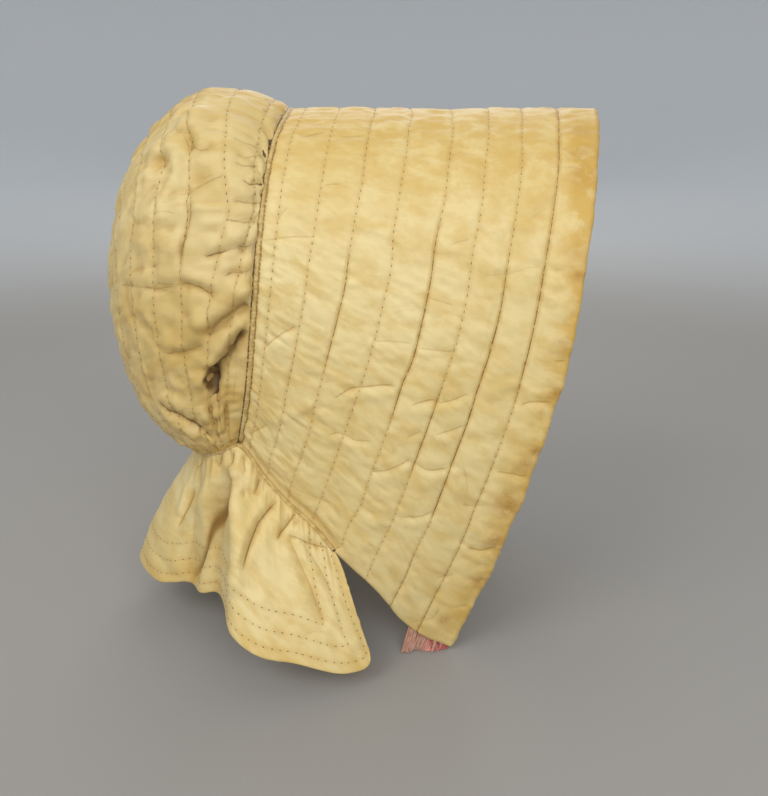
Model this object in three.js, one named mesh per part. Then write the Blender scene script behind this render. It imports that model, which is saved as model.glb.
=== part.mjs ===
import * as THREE from "three";

// A lady's quilted silk hood. Millimetres, +X out of the face opening, +Y the wearer's left, +Z up.
// The brim is a deep arch of wadding-filled channels that run from cheek to cheek, the crown is a
// quilted bag gathered at the nape, and a flounce (the curtain) hangs from the neck edge.
// The origin lies where the head touches the inside of the brim, 15 mm ahead of the crown seam.

const crest = 5.5; // outer top of the brim above the origin
const seamHalfGap = 1.6; // each cloth edge stops this far from the middle of its piping
const crownCordRadius = 1.2;
const neckCordRadius = 0.85;
const cordSunk = 1.3; // middle of the crown piping below the outer faces
const brimWall = 6.0; // at the top of a padded channel
const brimGroove = 1.5; // the outer face dips this much at a quilting line
const crownWall = 5.0;
const crownGroove = 1.2;
const curtainWall = 2.4;
const curtainGap = 1.6; // between the neck line and the curtain top
const neckCordRise = 0.3; // middle of the neck piping above the neck line
const cornerRadius = 9; // of the curtain's front corner
const cornerShare = 0.048; // share of the half width that this corner takes
const tieWall = 1.0;
const tieTuck = 11; // part of the ribbon sewn inside the brim
const tieFrom = 0.845; // back edge of the ribbon as a share of the brim's depth
const tieTo = 0.99;
const tieGap = 0.4; // between the ribbon and the lining of the brim
const tieEnd = -311.5; // cut end of the ribbon, below the crest
const tieFlare = 7.5; // how far the free end leans outward again
const tieCurl = 1.5; // above 1 the lean comes late

// Every shape table is for the right half, Y outward and Z down from the crest; the left mirrors it.
// Front edge of the brim, from the top to the cheek tip
const frontEdge = [
  { at: 0.0, x: 156.8, y: 0, z: 0 },
  { at: 0.06, x: 152.3, y: 24, z: -3 },
  { at: 0.12, x: 147.2, y: 46, z: -12 },
  { at: 0.18, x: 143.3, y: 64, z: -27 },
  { at: 0.24, x: 139.4, y: 77, z: -47 },
  { at: 0.31, x: 135.0, y: 86, z: -75 },
  { at: 0.4, x: 130.5, y: 90, z: -110 },
  { at: 0.52, x: 123.7, y: 90, z: -150 },
  { at: 0.64, x: 113.9, y: 88, z: -190 },
  { at: 0.76, x: 103.2, y: 84, z: -230 },
  { at: 0.88, x: 91.0, y: 79, z: -268 },
  { at: 1.0, x: 75.5, y: 74, z: -309 },
];
// Seam between brim and crown, from the top to the neck
const crownSeam = [
  { at: 0.0, x: -15.0, y: 0, z: 0 },
  { at: 0.1, x: -16.6, y: 24, z: -4 },
  { at: 0.2, x: -20.9, y: 46, z: -15 },
  { at: 0.3, x: -24.3, y: 63, z: -33 },
  { at: 0.41, x: -27.3, y: 74, z: -56 },
  { at: 0.53, x: -30.3, y: 80, z: -82 },
  { at: 0.66, x: -33.7, y: 80, z: -110 },
  { at: 0.8, x: -38.0, y: 76, z: -140 },
  { at: 0.9, x: -41.9, y: 70, z: -159 },
  { at: 1.0, x: -46.5, y: 62, z: -178 },
];
// Lower edge of the brim, from the neck to the cheek tip
const lowerEdge = [
  { at: 0.0, x: -46.5, y: 62, z: -178 },
  { at: 0.13, x: -32.6, y: 66, z: -199 },
  { at: 0.24, x: -19.4, y: 70, z: -213.3 },
  { at: 0.36, x: -4.7, y: 74, z: -226.2 },
  { at: 0.48, x: 10.0, y: 78, z: -244.6 },
  { at: 0.64, x: 29.9, y: 79, z: -266.1 },
  { at: 0.78, x: 45.5, y: 77, z: -289 },
  { at: 0.91, x: 62.8, y: 75, z: -303.5 },
  { at: 1.0, x: 75.5, y: 74, z: -309 },
];
// Outline of the crown on the middle plane, from the top seam to the nape
const crownProfile = [
  { at: 0.0, x: -15.0, z: 0.0 },
  { at: 0.06, x: -26.5, z: 7.0 },
  { at: 0.13, x: -41.0, z: 10.8 },
  { at: 0.21, x: -57.0, z: 10.6 },
  { at: 0.29, x: -72.0, z: 4.4 },
  { at: 0.37, x: -86.0, z: -7.0 },
  { at: 0.45, x: -100.0, z: -23.0 },
  { at: 0.54, x: -111.5, z: -45.0 },
  { at: 0.63, x: -120.0, z: -76.0 },
  { at: 0.72, x: -122.6, z: -108.0 },
  { at: 0.8, x: -120.0, z: -139.0 },
  { at: 0.87, x: -112.5, z: -166.0 },
  { at: 0.93, x: -100.0, z: -184.5 },
  { at: 1.0, x: -79.0, z: -199.0 },
];
// Neck line (top of the curtain) and hem, from the front corner to the middle of the back
const curtainFolds = [
  { at: 0.0, neckX: 7.0, neckY: 78, neckZ: -241, hemX: 29, hemY: 104, hemZ: -300, swell: 0 },
  { at: 0.12, neckX: -5.0, neckY: 74, neckZ: -226.5, hemX: 9, hemY: 110, hemZ: -299, swell: 2 },
  { at: 0.24, neckX: -19.4, neckY: 70, neckZ: -213.3, hemX: -14, hemY: 114, hemZ: -289, swell: 2 },
  { at: 0.36, neckX: -32.6, neckY: 66, neckZ: -199, hemX: -36, hemY: 115, hemZ: -282, swell: 2 },
  { at: 0.47, neckX: -46.5, neckY: 62.5, neckZ: -180, hemX: -53, hemY: 106, hemZ: -272, swell: 1 },
  { at: 0.54, neckX: -54.0, neckY: 60, neckZ: -183, hemX: -58, hemY: 88, hemZ: -268, swell: -1 },
  { at: 0.62, neckX: -61.5, neckY: 55, neckZ: -188, hemX: -64, hemY: 72, hemZ: -269, swell: -3 },
  { at: 0.7, neckX: -68.5, neckY: 46, neckZ: -192.5, hemX: -76, hemY: 64, hemZ: -274, swell: 1 },
  { at: 0.77, neckX: -73.0, neckY: 36, neckZ: -196, hemX: -84, hemY: 48, hemZ: -277, swell: -1 },
  { at: 0.87, neckX: -77.2, neckY: 20, neckZ: -198.5, hemX: -107, hemY: 36, hemZ: -283, swell: 3 },
  { at: 1.0, neckX: -79.0, neckY: 0, neckZ: -199, hemX: -126.5, hemY: 0, hemZ: -282, swell: 4 },
];
// Quilting lines: across the brim as a share of its depth, and back from the seam in the crown
const brimLines = [0, 0.04, 0.15, 0.265, 0.39, 0.52, 0.64, 0.755, 0.875, 1];
const crownLines = [0, 0.067, 0.138, 0.228, 0.345, 0.475, 0.62, 0.79, 1];
// The crown's lines are hoops over the head from nape to nape. Each row gives how far down the
// middle of the bag a hoop crosses; the last one closes on the middle of the back.
const hoopTops = [
  { at: 0, down: 0 },
  { at: 0.2, down: 0.22 },
  { at: 0.4, down: 0.36 },
  { at: 0.6, down: 0.47 },
  { at: 0.8, down: 0.575 },
  { at: 1, down: 0.65 },
];
const hoopCorner = 3; // 2 would be an ellipse; larger is squarer
const squareUntil = 0.3; // the first hoop is square at its corners, as the seam is, and eases by here
// Down the sides the quilting lines drift forward, then back, as a share of the brim's depth
const lineDrift = [
  { at: 0, drift: 0 },
  { at: 0.2, drift: 0.025 },
  { at: 0.4, drift: 0.015 },
  { at: 0.6, drift: -0.015 },
  { at: 0.75, drift: -0.04 },
  { at: 0.9, drift: -0.055 },
  { at: 1, drift: -0.06 },
];
const puffSamples = [0, 0.28, 0.72]; // steps across one padded channel
const puffRoundness = 0.6; // below 1 a channel is flatter on top and steeper at its lines
const brimHem = 0.03; // share of the arch over which the wadding thins to the lower edge
const crownHem = 0.04; // the same for the crown's hoops at the nape

const shoulder = 0.36; // share of the seam that the top of the crown's bag is set into
const shoulderEase = 0.25; // share of the crown's height that eases into the seam
const crownFullness = 0.175; // extra width of the bag behind the seam

const brimRings = 38;
const crownRings = 36;
const curtainColumns = 52;
const curtainRows = 9;
const cordSteps = 60;
const cordSides = 6;

const silk = { color: 0xd8be84, roughness: 0.55, metalness: 0 };
const crownSilk = { color: 0xd2bb88, roughness: 0.55, metalness: 0 };
const cordSilk = { color: 0xbf9a5c, roughness: 0.6, metalness: 0 };
const ribbonSatin = { color: 0xd59a86, roughness: 0.42, metalness: 0 };

// Smooth interpolation through a table, one named column at a time. A row on the middle plane is
// crossed level, because the other half mirrors it, so only its Y columns keep a slope there.
function read(table, t, column) {
  const last = table.length - 1;
  let i = 0;
  while (i < last - 1 && t > table[i + 1].at) i++;
  const slope = (k) => {
    const onMiddle = table[k].y === 0 || table[k].hemY === 0;
    if (onMiddle && !column.toLowerCase().endsWith("y")) return 0;
    if (k === 0) return (table[1][column] - table[0][column]) / (table[1].at - table[0].at);
    if (k === last) return (table[last][column] - table[last - 1][column]) / (table[last].at - table[last - 1].at);
    const before = table[k].at - table[k - 1].at;
    const after = table[k + 1].at - table[k].at;
    const down = (table[k][column] - table[k - 1][column]) / before;
    const up = (table[k + 1][column] - table[k][column]) / after;
    return (down * after + up * before) / (before + after);
  };
  const span = table[i + 1].at - table[i].at;
  const f = (t - table[i].at) / span;
  const g = f - 1;
  return (
    table[i][column] * (1 + 2 * f) * g * g +
    slope(i) * span * f * g * g +
    table[i + 1][column] * f * f * (3 - 2 * f) +
    slope(i + 1) * span * f * f * g
  );
}

// A table's point, mirrored to the side that the sign of `side` names
function pointOf(table, t, side) {
  return new THREE.Vector3(read(table, t, "x"), side * read(table, t, "y"), read(table, t, "z") + crest);
}

const ahead = new THREE.Vector3(seamHalfGap, 0, 0);

// Outer face of the brim; depth runs 0 at the seam to 1 at the front, arch runs -1 to 1 over the top
function brimFace(depth, arch) {
  const side = arch < 0 ? -1 : 1;
  const v = Math.abs(arch);
  const back = pointOf(crownSeam, v, side).add(ahead);
  const front = pointOf(frontEdge, v, side);
  const edge = pointOf(lowerEdge, depth, side);
  const chord = pointOf(lowerEdge, 0, side).lerp(pointOf(lowerEdge, 1, side), depth);
  return back.lerp(front, depth).addScaledVector(edge.sub(chord), v * v);
}

// Outer face of the crown; turn is in degrees from the middle plane, down runs 0 at the top seam to 1 at the nape
function crownFace(turn, down) {
  const side = turn < 0 ? -1 : 1;
  const sine = Math.abs(Math.sin((turn * Math.PI) / 180));
  const cosine = Math.cos((turn * Math.PI) / 180);
  const edge = pointOf(crownSeam, shoulder + (1 - shoulder) * down, side);
  const middle = { x: read(crownProfile, down, "x"), z: read(crownProfile, down, "z") + crest };
  const fullness = 1 + crownFullness * cosine * Math.pow(Math.max(0, Math.sin(Math.PI * down)), 0.7);
  const round = new THREE.Vector3(
    edge.x + (middle.x - edge.x) * cosine,
    edge.y * sine * fullness,
    edge.z + (middle.z - edge.z) * cosine,
  );
  const seam = pointOf(crownSeam, shoulder * sine, side);
  const ease = Math.pow(Math.max(0, 1 - down / shoulderEase), 2);
  return round.lerp(seam, ease).sub(ahead);
}

// Where a hoop of the crown passes; station runs 0 at the seam to 1 at the back, arch -1 to 1 over the head
function hoopAt(station, arch) {
  const sine = Math.sin((arch * Math.PI) / 2);
  const cosine = Math.cos((arch * Math.PI) / 2);
  const square = 1 / Math.max(Math.abs(sine), cosine);
  const rounded = Math.pow(Math.pow(cosine, hoopCorner) + Math.pow(Math.abs(sine), hoopCorner), -1 / hoopCorner);
  const ease = Math.min(1, station / squareUntil);
  const reach = square + (rounded - square) * ease * ease * (3 - 2 * ease);
  const top = read(hoopTops, station, "down");
  return { turn: 90 * (1 - station) * reach * sine, down: Math.min(1, 1 - (1 - top) * reach * cosine) };
}

// Outer face of the curtain; along runs -1 to 1 round the neck, millimetres down from the neck line
function curtainAt(along, drop) {
  const side = along < 0 ? -1 : 1;
  const w = Math.max(0, 1 - Math.abs(along));
  const fold = (name) => read(curtainFolds, w, name);
  const neck = new THREE.Vector3(fold("neckX"), side * fold("neckY"), fold("neckZ") + crest);
  const hem = new THREE.Vector3(fold("hemX"), side * fold("hemY"), fold("hemZ") + crest);
  const out = new THREE.Vector3(hem.x - neck.x, hem.y - neck.y, 0).normalize();
  const share = drop / neck.distanceTo(hem);
  return neck.lerp(hem, share).addScaledVector(out, fold("swell") * Math.sin(Math.PI * Math.max(0, share)));
}

// Fall that leaves room for the neck piping, longer where a fold runs close to the neck line
function neckClearance(along) {
  const step = 0.005;
  const a = Math.max(step - 1, Math.min(1 - step, along));
  const tangent = curtainAt(a + step, 0).sub(curtainAt(a - step, 0)).normalize();
  const fall = curtainAt(a, 10).sub(curtainAt(a, 0)).normalize();
  return curtainGap / tangent.cross(fall).length();
}

// The same, with drop as a share: 0 at the gathered top and 1 at the hem with its rounded front corner
function curtainFace(along, drop) {
  const w = Math.max(0, 1 - Math.abs(along));
  const fold = (name) => read(curtainFolds, w, name);
  const length = Math.hypot(fold("hemX") - fold("neckX"), fold("hemY") - fold("neckY"), fold("hemZ") - fold("neckZ"));
  const cut = w < cornerShare ? cornerRadius * (1 - Math.sqrt(1 - Math.pow(1 - w / cornerShare, 2))) : 0;
  const start = neckClearance(along);
  return curtainAt(along, start + (length - cut - start) * drop);
}

// Unit normal of a face by small differences in its two parameters
const share = 0.004;
function normalOf(face, a, b, stepA = share, stepB = share) {
  const du = face(a + stepA, b).sub(face(a - stepA, b));
  const dv = face(a, b + stepB).sub(face(a, b - stepB));
  return du.cross(dv).normalize();
}

// A closed cloth wall between an outer and an inner face, over two lists of parameters. Where it is
// closed at the back, the last column folds onto itself and its two halves share their points.
function wallBetween(outer, inner, rows, columns, closedBack = false) {
  const across = columns.length;
  const down = rows.length;
  const position = [];
  const numbers = new Map();
  [outer, inner].forEach((face, f) => {
    for (let i = 0; i < down; i++) {
      for (let j = 0; j < across; j++) {
        if (closedBack && j === across - 1 && i > down - 1 - i) continue;
        numbers.set((f * down + i) * across + j, position.length / 3);
        position.push(...face(rows[i], columns[j]).toArray());
      }
    }
  });
  const at = (face, i, j) => {
    const row = closedBack && j === across - 1 ? Math.min(i, down - 1 - i) : i;
    return numbers.get((face * down + row) * across + j);
  };
  const index = [];
  const quad = (a, b, c, d) => index.push(a, b, c, a, c, d);
  for (let i = 0; i < down - 1; i++) {
    for (let j = 0; j < across - 1; j++) {
      quad(at(0, i, j), at(0, i + 1, j), at(0, i + 1, j + 1), at(0, i, j + 1));
      quad(at(1, i, j), at(1, i, j + 1), at(1, i + 1, j + 1), at(1, i + 1, j));
    }
  }
  for (let j = 0; j < across - 1; j++) {
    quad(at(0, 0, j), at(0, 0, j + 1), at(1, 0, j + 1), at(1, 0, j));
    quad(at(0, down - 1, j + 1), at(0, down - 1, j), at(1, down - 1, j), at(1, down - 1, j + 1));
  }
  for (let i = 0; i < down - 1; i++) {
    quad(at(0, i + 1, 0), at(0, i, 0), at(1, i, 0), at(1, i + 1, 0));
    if (closedBack) continue;
    quad(at(0, i, across - 1), at(0, i + 1, across - 1), at(1, i + 1, across - 1), at(1, i, across - 1));
  }
  const geometry = new THREE.BufferGeometry();
  geometry.setAttribute("position", new THREE.Float32BufferAttribute(position, 3));
  geometry.setIndex(index);
  geometry.computeVertexNormals();
  return geometry;
}

// Parameters that step across each channel between quilting lines
function channelSteps(lines) {
  const steps = [];
  for (let i = 0; i < lines.length - 1; i++) {
    for (const f of puffSamples) steps.push(lines[i] + (lines[i + 1] - lines[i]) * f);
  }
  steps.push(lines[lines.length - 1]);
  return steps;
}

// How full the wadding is: 0 at a quilting line, 1 in the middle of a channel
function puff(lines, t) {
  let i = 0;
  while (i < lines.length - 2 && t >= lines[i + 1]) i++;
  const f = (t - lines[i]) / (lines[i + 1] - lines[i]);
  return Math.pow(Math.max(0, Math.sin(Math.PI * Math.min(1, Math.max(0, f)))), puffRoundness);
}

const evenly = (from, to, count) => Array.from({ length: count + 1 }, (_, i) => from + ((to - from) * i) / count);

function piece(name, geometry, finish) {
  const mesh = new THREE.Mesh(geometry, new THREE.MeshStandardMaterial(finish));
  mesh.material.side = THREE.FrontSide;
  mesh.name = name;
  return mesh;
}

// The tables give the outer face at the top of each channel; wadding fills the wall between the lines
function makeBrim() {
  const sunk = (depth, arch, amount) => {
    const drifted = depth + read(lineDrift, Math.abs(arch), "drift") * Math.sin(Math.PI * depth);
    return brimFace(drifted, arch).addScaledVector(normalOf(brimFace, drifted, arch), -amount);
  };
  const fill = (depth, arch) => puff(brimLines, depth) * Math.min(1, (1 - Math.abs(arch)) / brimHem);
  const outer = (depth, arch) => sunk(depth, arch, brimGroove * (1 - fill(depth, arch)));
  const inner = (depth, arch) => sunk(depth, arch, brimWall - brimGroove * (1 - fill(depth, arch)));
  return wallBetween(outer, inner, channelSteps(brimLines), evenly(-1, 1, brimRings));
}

function makeCrown() {
  const sunk = (arch, station, amount) => {
    const { turn, down } = hoopAt(station, arch);
    return crownFace(turn, down).addScaledVector(normalOf(crownFace, turn, down, 100 * share), -amount);
  };
  const fill = (arch, station) => puff(crownLines, station) * Math.min(1, (1 - Math.abs(arch)) / crownHem);
  const outer = (arch, station) => sunk(arch, station, crownGroove * (1 - fill(arch, station)));
  const inner = (arch, station) => sunk(arch, station, crownWall - crownGroove * (1 - fill(arch, station)));
  return wallBetween(outer, inner, evenly(-1, 1, crownRings), channelSteps(crownLines), true);
}

function makeCurtain() {
  const inward = (along, drop) => normalOf(curtainFace, along, drop);
  const inner = (along, drop) => curtainFace(along, drop).addScaledVector(inward(along, drop), -curtainWall);
  return wallBetween(curtainFace, inner, evenly(-1, 1, curtainColumns), evenly(0, 1, curtainRows));
}

// A round cord along a list of points
function makeCord(points, radius, steps) {
  const ring = new THREE.Shape(
    Array.from({ length: cordSides }, (_, i) => {
      const a = (i * 2 * Math.PI) / cordSides;
      return new THREE.Vector2(radius * Math.cos(a), radius * Math.sin(a));
    }),
  );
  const path = new THREE.CatmullRomCurve3(points, false, "centripetal");
  return new THREE.ExtrudeGeometry(ring, { steps, bevelEnabled: false, extrudePath: path, curveSegments: 1 });
}

// Piping that covers the seam between brim and crown
function crownCordPoints() {
  const reach = 0.996; // share of the seam, clear of the neck piping
  return evenly(-reach, reach, 40).map((arch) => {
    const seam = pointOf(crownSeam, Math.abs(arch), arch < 0 ? -1 : 1);
    return seam.addScaledVector(normalOf(brimFace, 0, arch), -cordSunk);
  });
}

// Piping between the neck edge and the curtain
function neckCordPoints() {
  const reach = 0.99;
  const sunk = 0.5; // inside the curtain's outer face
  return evenly(-reach, reach, 56).map((along) => {
    const inward = normalOf(curtainFace, along, 5 * share);
    return curtainAt(along, -neckCordRise).addScaledVector(inward, -sunk);
  });
}

// Stub of the ribbon tie sewn inside a cheek tip, hanging straight to its cut end
function makeTie(side) {
  const face = (across, down, inward) => {
    const depth = tieFrom + (tieTo - tieFrom) * across;
    const edge = brimFace(depth, side);
    const along = edge.clone().sub(brimFace(depth, side * (1 - brimHem))).normalize();
    const n = normalOf(brimFace, depth, side * (1 - share));
    const length = (tieEnd + crest - edge.z) / along.z;
    const fallen = -tieTuck + (tieTuck + length) * down;
    const lean = fallen > 0 ? tieFlare * Math.pow(fallen / length, tieCurl) : 0;
    return edge.addScaledVector(along, fallen).addScaledVector(n, lean - brimWall - tieGap - inward);
  };
  const outer = (a, b) => face(a, b, 0);
  const inner = (a, b) => face(a, b, tieWall);
  return wallBetween(outer, inner, side > 0 ? evenly(0, 1, 4) : evenly(1, 0, 4), evenly(0, 1, 5));
}

const whole = new THREE.Group();
whole.name = "quilted_hood";
whole.add(
  piece("brim", makeBrim(), silk),
  piece("crown", makeCrown(), crownSilk),
  piece("curtain", makeCurtain(), silk),
  piece("crown_piping", makeCord(crownCordPoints(), crownCordRadius, cordSteps), cordSilk),
  piece("neck_piping", makeCord(neckCordPoints(), neckCordRadius, cordSteps), cordSilk),
  piece("tie_right", makeTie(-1), ribbonSatin),
  piece("tie_left", makeTie(1), ribbonSatin),
);

export default whole;
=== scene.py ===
import math

import bpy
import numpy as np
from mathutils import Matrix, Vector


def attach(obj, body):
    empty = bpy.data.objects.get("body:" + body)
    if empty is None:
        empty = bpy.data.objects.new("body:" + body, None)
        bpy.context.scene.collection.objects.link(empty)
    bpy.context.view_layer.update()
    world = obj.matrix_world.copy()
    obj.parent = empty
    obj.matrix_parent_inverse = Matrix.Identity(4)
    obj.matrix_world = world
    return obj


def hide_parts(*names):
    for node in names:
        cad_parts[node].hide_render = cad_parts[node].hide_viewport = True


# A lady's quilted silk hood: brim, crown, two covered cords, curtain and two worn ribbon ties
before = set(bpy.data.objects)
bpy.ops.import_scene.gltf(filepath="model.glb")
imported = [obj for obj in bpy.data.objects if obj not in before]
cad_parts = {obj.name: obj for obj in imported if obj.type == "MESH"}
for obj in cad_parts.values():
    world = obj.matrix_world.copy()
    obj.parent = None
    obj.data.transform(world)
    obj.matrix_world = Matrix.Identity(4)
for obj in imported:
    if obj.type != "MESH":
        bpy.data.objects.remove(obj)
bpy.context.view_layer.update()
print("frame loaded")

# Every length below is in millimetres until a mesh is made
mm = 0.001
view = {"place": (0.0203, -0.4897, 0.0055), "turn": 2.0, "tilt": 19.609, "lens": 36.81, "sensor": 36}


def makeCamera():
    data = bpy.data.cameras.new("photoCamera")
    data.lens = view["lens"]
    data.sensor_width = view["sensor"]
    data.clip_start = 0.01
    camera = bpy.data.objects.new("photoCamera", data)
    camera.location = view["place"]
    camera.rotation_euler = (math.radians(90 - view["tilt"]), 0, math.radians(-view["turn"]))
    bpy.context.scene.collection.objects.link(camera)
    bpy.context.scene.camera = camera


makeCamera()
print("camera placed")

# Shape tables, the same as the solids' own: right half, y outward, z down from the crest
crest = 5.5
seamHalfGap = 1.6
shoulder = 0.36
shoulderEase = 0.25
crownFullness = 0.175
curtainGap = 1.6
cornerRadius = 9
cornerShare = 0.048


def table(columns, rows):
    data = np.array(rows, float)
    return {name: data[:, i] for i, name in enumerate(columns.split())}


frontEdge = table("at x y z", [
    (0.00, 156.8, 0, 0), (0.06, 152.3, 24, -3), (0.12, 147.2, 46, -12), (0.18, 143.3, 64, -27),
    (0.24, 139.4, 77, -47), (0.31, 135.0, 86, -75), (0.40, 130.5, 90, -110), (0.52, 123.7, 90, -150),
    (0.64, 113.9, 88, -190), (0.76, 103.2, 84, -230), (0.88, 91.0, 79, -268), (1.00, 75.5, 74, -309)])
crownSeam = table("at x y z", [
    (0.00, -15.0, 0, 0), (0.10, -16.6, 24, -4), (0.20, -20.9, 46, -15), (0.30, -24.3, 63, -33),
    (0.41, -27.3, 74, -56), (0.53, -30.3, 80, -82), (0.66, -33.7, 80, -110), (0.80, -38.0, 76, -140),
    (0.90, -41.9, 70, -159), (1.00, -46.5, 62, -178)])
lowerEdge = table("at x y z", [
    (0.00, -46.5, 62, -178), (0.13, -32.6, 66, -199), (0.24, -19.4, 70, -213.3), (0.36, -4.7, 74, -226.2),
    (0.48, 10.0, 78, -244.6), (0.64, 29.9, 79, -266.1), (0.78, 45.5, 77, -289), (0.91, 62.8, 75, -303.5),
    (1.00, 75.5, 74, -309)])
crownProfile = table("at x z", [
    (0.00, -15.0, 0), (0.06, -26.5, 7), (0.13, -41.0, 10.8), (0.21, -57.0, 10.6), (0.29, -72.0, 4.4),
    (0.37, -86.0, -7), (0.45, -100.0, -23), (0.54, -111.5, -45), (0.63, -120.0, -76),
    (0.72, -122.6, -108), (0.80, -120.0, -139), (0.87, -112.5, -166), (0.93, -100.0, -184.5),
    (1.00, -79.0, -199)])
curtainFolds = table("at neckX neckY neckZ hemX hemY hemZ swell", [
    (0.00, 7.0, 78, -241, 29, 104, -300, 0), (0.12, -5.0, 74, -226.5, 9, 110, -299, 2),
    (0.24, -19.4, 70, -213.3, -14, 114, -289, 2), (0.36, -32.6, 66, -199, -36, 115, -282, 2),
    (0.47, -46.5, 62.5, -180, -53, 106, -272, 1), (0.54, -54.0, 60, -183, -58, 88, -268, -1),
    (0.62, -61.5, 55, -188, -64, 72, -269, -3), (0.70, -68.5, 46, -192.5, -76, 64, -274, 1),
    (0.77, -73.0, 36, -196, -84, 48, -277, -1), (0.87, -77.2, 20, -198.5, -107, 36, -283, 3),
    (1.00, -79.0, 0, -199, -126.5, 0, -282, 4)])
hoopTops = table("at down", [(0.0, 0), (0.2, 0.22), (0.4, 0.36), (0.6, 0.47), (0.8, 0.575), (1.0, 0.65)])
lineDrift = table("at drift", [
    (0.0, 0), (0.2, 0.025), (0.4, 0.015), (0.6, -0.015), (0.75, -0.04), (0.9, -0.055), (1.0, -0.06)])


def read(tab, t, column):
    # smooth curve through one column; a row on the middle plane is crossed level, except in y
    at = tab["at"]
    value = tab[column]
    t = np.asarray(t, float)
    i = np.clip(np.searchsorted(at, t, side="left") - 1, 0, len(at) - 2)
    step = np.diff(at)
    chord = np.diff(value) / step
    slope = np.empty(len(at))
    slope[0] = chord[0]
    slope[-1] = chord[-1]
    slope[1:-1] = (chord[:-1] * step[1:] + chord[1:] * step[:-1]) / (step[:-1] + step[1:])
    middle = tab.get("y", tab.get("hemY"))
    if middle is not None and not column.lower().endswith("y"):
        slope[middle == 0] = 0
    f = (t - at[i]) / step[i]
    g = f - 1
    return (value[i] * (1 + 2 * f) * g * g + slope[i] * step[i] * f * g * g
            + value[i + 1] * f * f * (3 - 2 * f) + slope[i + 1] * step[i] * f * f * g)


def stack(x, y, z):
    return np.stack(np.broadcast_arrays(x, y, z), -1)


def unit(vectors):
    return vectors / np.maximum(np.linalg.norm(vectors, axis=-1, keepdims=True), 1e-9)


def smooth(low, high, value):
    t = np.clip((value - low) / (high - low), 0, 1)
    return t * t * (3 - 2 * t)


def pointOf(tab, t, side):
    return stack(read(tab, t, "x"), side * read(tab, t, "y"), read(tab, t, "z") + crest)


def brimFace(depth, arch):
    # depth 0 at the crown seam to 1 at the front edge, arch -1 to 1 over the head
    side = np.where(arch < 0, -1.0, 1.0)
    v = np.abs(arch)
    back = pointOf(crownSeam, v, side) + np.array([seamHalfGap, 0, 0])
    front = pointOf(frontEdge, v, side)
    edge = pointOf(lowerEdge, depth, side)
    d = np.asarray(depth, float)[..., None]
    first = pointOf(lowerEdge, 0.0, side)
    last = pointOf(lowerEdge, 1.0, side)
    return back + (front - back) * d + (edge - first - (last - first) * d) * (v * v)[..., None]


def crownFace(turn, down):
    # turn in degrees from the middle plane, down 0 at the top seam to 1 at the nape
    side = np.where(turn < 0, -1.0, 1.0)
    sine = np.abs(np.sin(np.radians(turn)))
    cosine = np.cos(np.radians(turn))
    edge = pointOf(crownSeam, shoulder + (1 - shoulder) * down, side)
    midX = read(crownProfile, down, "x")
    midZ = read(crownProfile, down, "z") + crest
    full = 1 + crownFullness * cosine * np.maximum(0, np.sin(np.pi * down)) ** 0.7
    bag = stack(edge[..., 0] + (midX - edge[..., 0]) * cosine, edge[..., 1] * sine * full,
                edge[..., 2] + (midZ - edge[..., 2]) * cosine)
    seam = pointOf(crownSeam, shoulder * sine, side)
    ease = np.maximum(0, 1 - down / shoulderEase)[..., None] ** 2
    return bag + (seam - bag) * ease - np.array([seamHalfGap, 0, 0])


def hoopAt(station, arch):
    # the crown's quilting lines are hoops; station 0 at the seam to 1 at the middle of the back
    sine = np.sin(arch * np.pi / 2)
    cosine = np.cos(arch * np.pi / 2)
    square = 1 / np.maximum(np.abs(sine), cosine)
    rounded = (cosine ** 3 + np.abs(sine) ** 3) ** (-1 / 3)
    reach = square + (rounded - square) * smooth(0, 0.3, station)
    top = read(hoopTops, station, "down")
    return 90 * (1 - station) * reach * sine, np.minimum(1, 1 - (1 - top) * reach * cosine)


def curtainEdge(edge, w, side):
    return stack(read(curtainFolds, w, edge + "X"), side * read(curtainFolds, w, edge + "Y"),
                 read(curtainFolds, w, edge + "Z") + crest)


def curtainAt(along, drop):
    # along -1 to 1 round the neck, drop in millimetres from the neck line
    side = np.where(along < 0, -1.0, 1.0)
    w = np.maximum(0, 1 - np.abs(along))
    neck = curtainEdge("neck", w, side)
    hem = curtainEdge("hem", w, side)
    out = unit((hem - neck) * np.array([1, 1, 0]))
    share = drop / np.linalg.norm(hem - neck, axis=-1)
    bulge = read(curtainFolds, w, "swell") * np.sin(np.pi * np.clip(share, 0, 1))
    return neck + (hem - neck) * share[..., None] + out * bulge[..., None]


def curtainLength(along):
    w = np.maximum(0, 1 - np.abs(along))
    gap = [read(curtainFolds, w, "hem" + k) - read(curtainFolds, w, "neck" + k) for k in "XYZ"]
    return np.sqrt(gap[0] ** 2 + gap[1] ** 2 + gap[2] ** 2)


def curtainPlace(along, drop):
    return curtainAt(along, drop * curtainLength(along))


def curtainFace(along, drop):
    # drop 0 at the gathered top to 1 at the hem, with a rounded front corner
    w = np.maximum(0, 1 - np.abs(along))
    length = curtainLength(along)
    inCorner = np.sqrt(np.maximum(0, 1 - (1 - np.minimum(1, w / cornerShare)) ** 2))
    cut = cornerRadius * (1 - inCorner)
    a = np.clip(along, -0.995, 0.995)
    zero = np.zeros_like(a)
    tangent = unit(curtainAt(a + 0.005, zero) - curtainAt(a - 0.005, zero))
    fall = unit(curtainAt(a, zero + 10) - curtainAt(a, zero))
    start = curtainGap / np.linalg.norm(np.cross(tangent, fall), axis=-1)
    return curtainAt(along, start + (length - cut - start) * drop)


def normalOf(face, a, b, stepA=0.004, stepB=0.004):
    du = face(a + stepA, b) - face(a - stepA, b)
    dv = face(a, b + stepB) - face(a, b - stepB)
    return unit(np.cross(du, dv))


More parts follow.
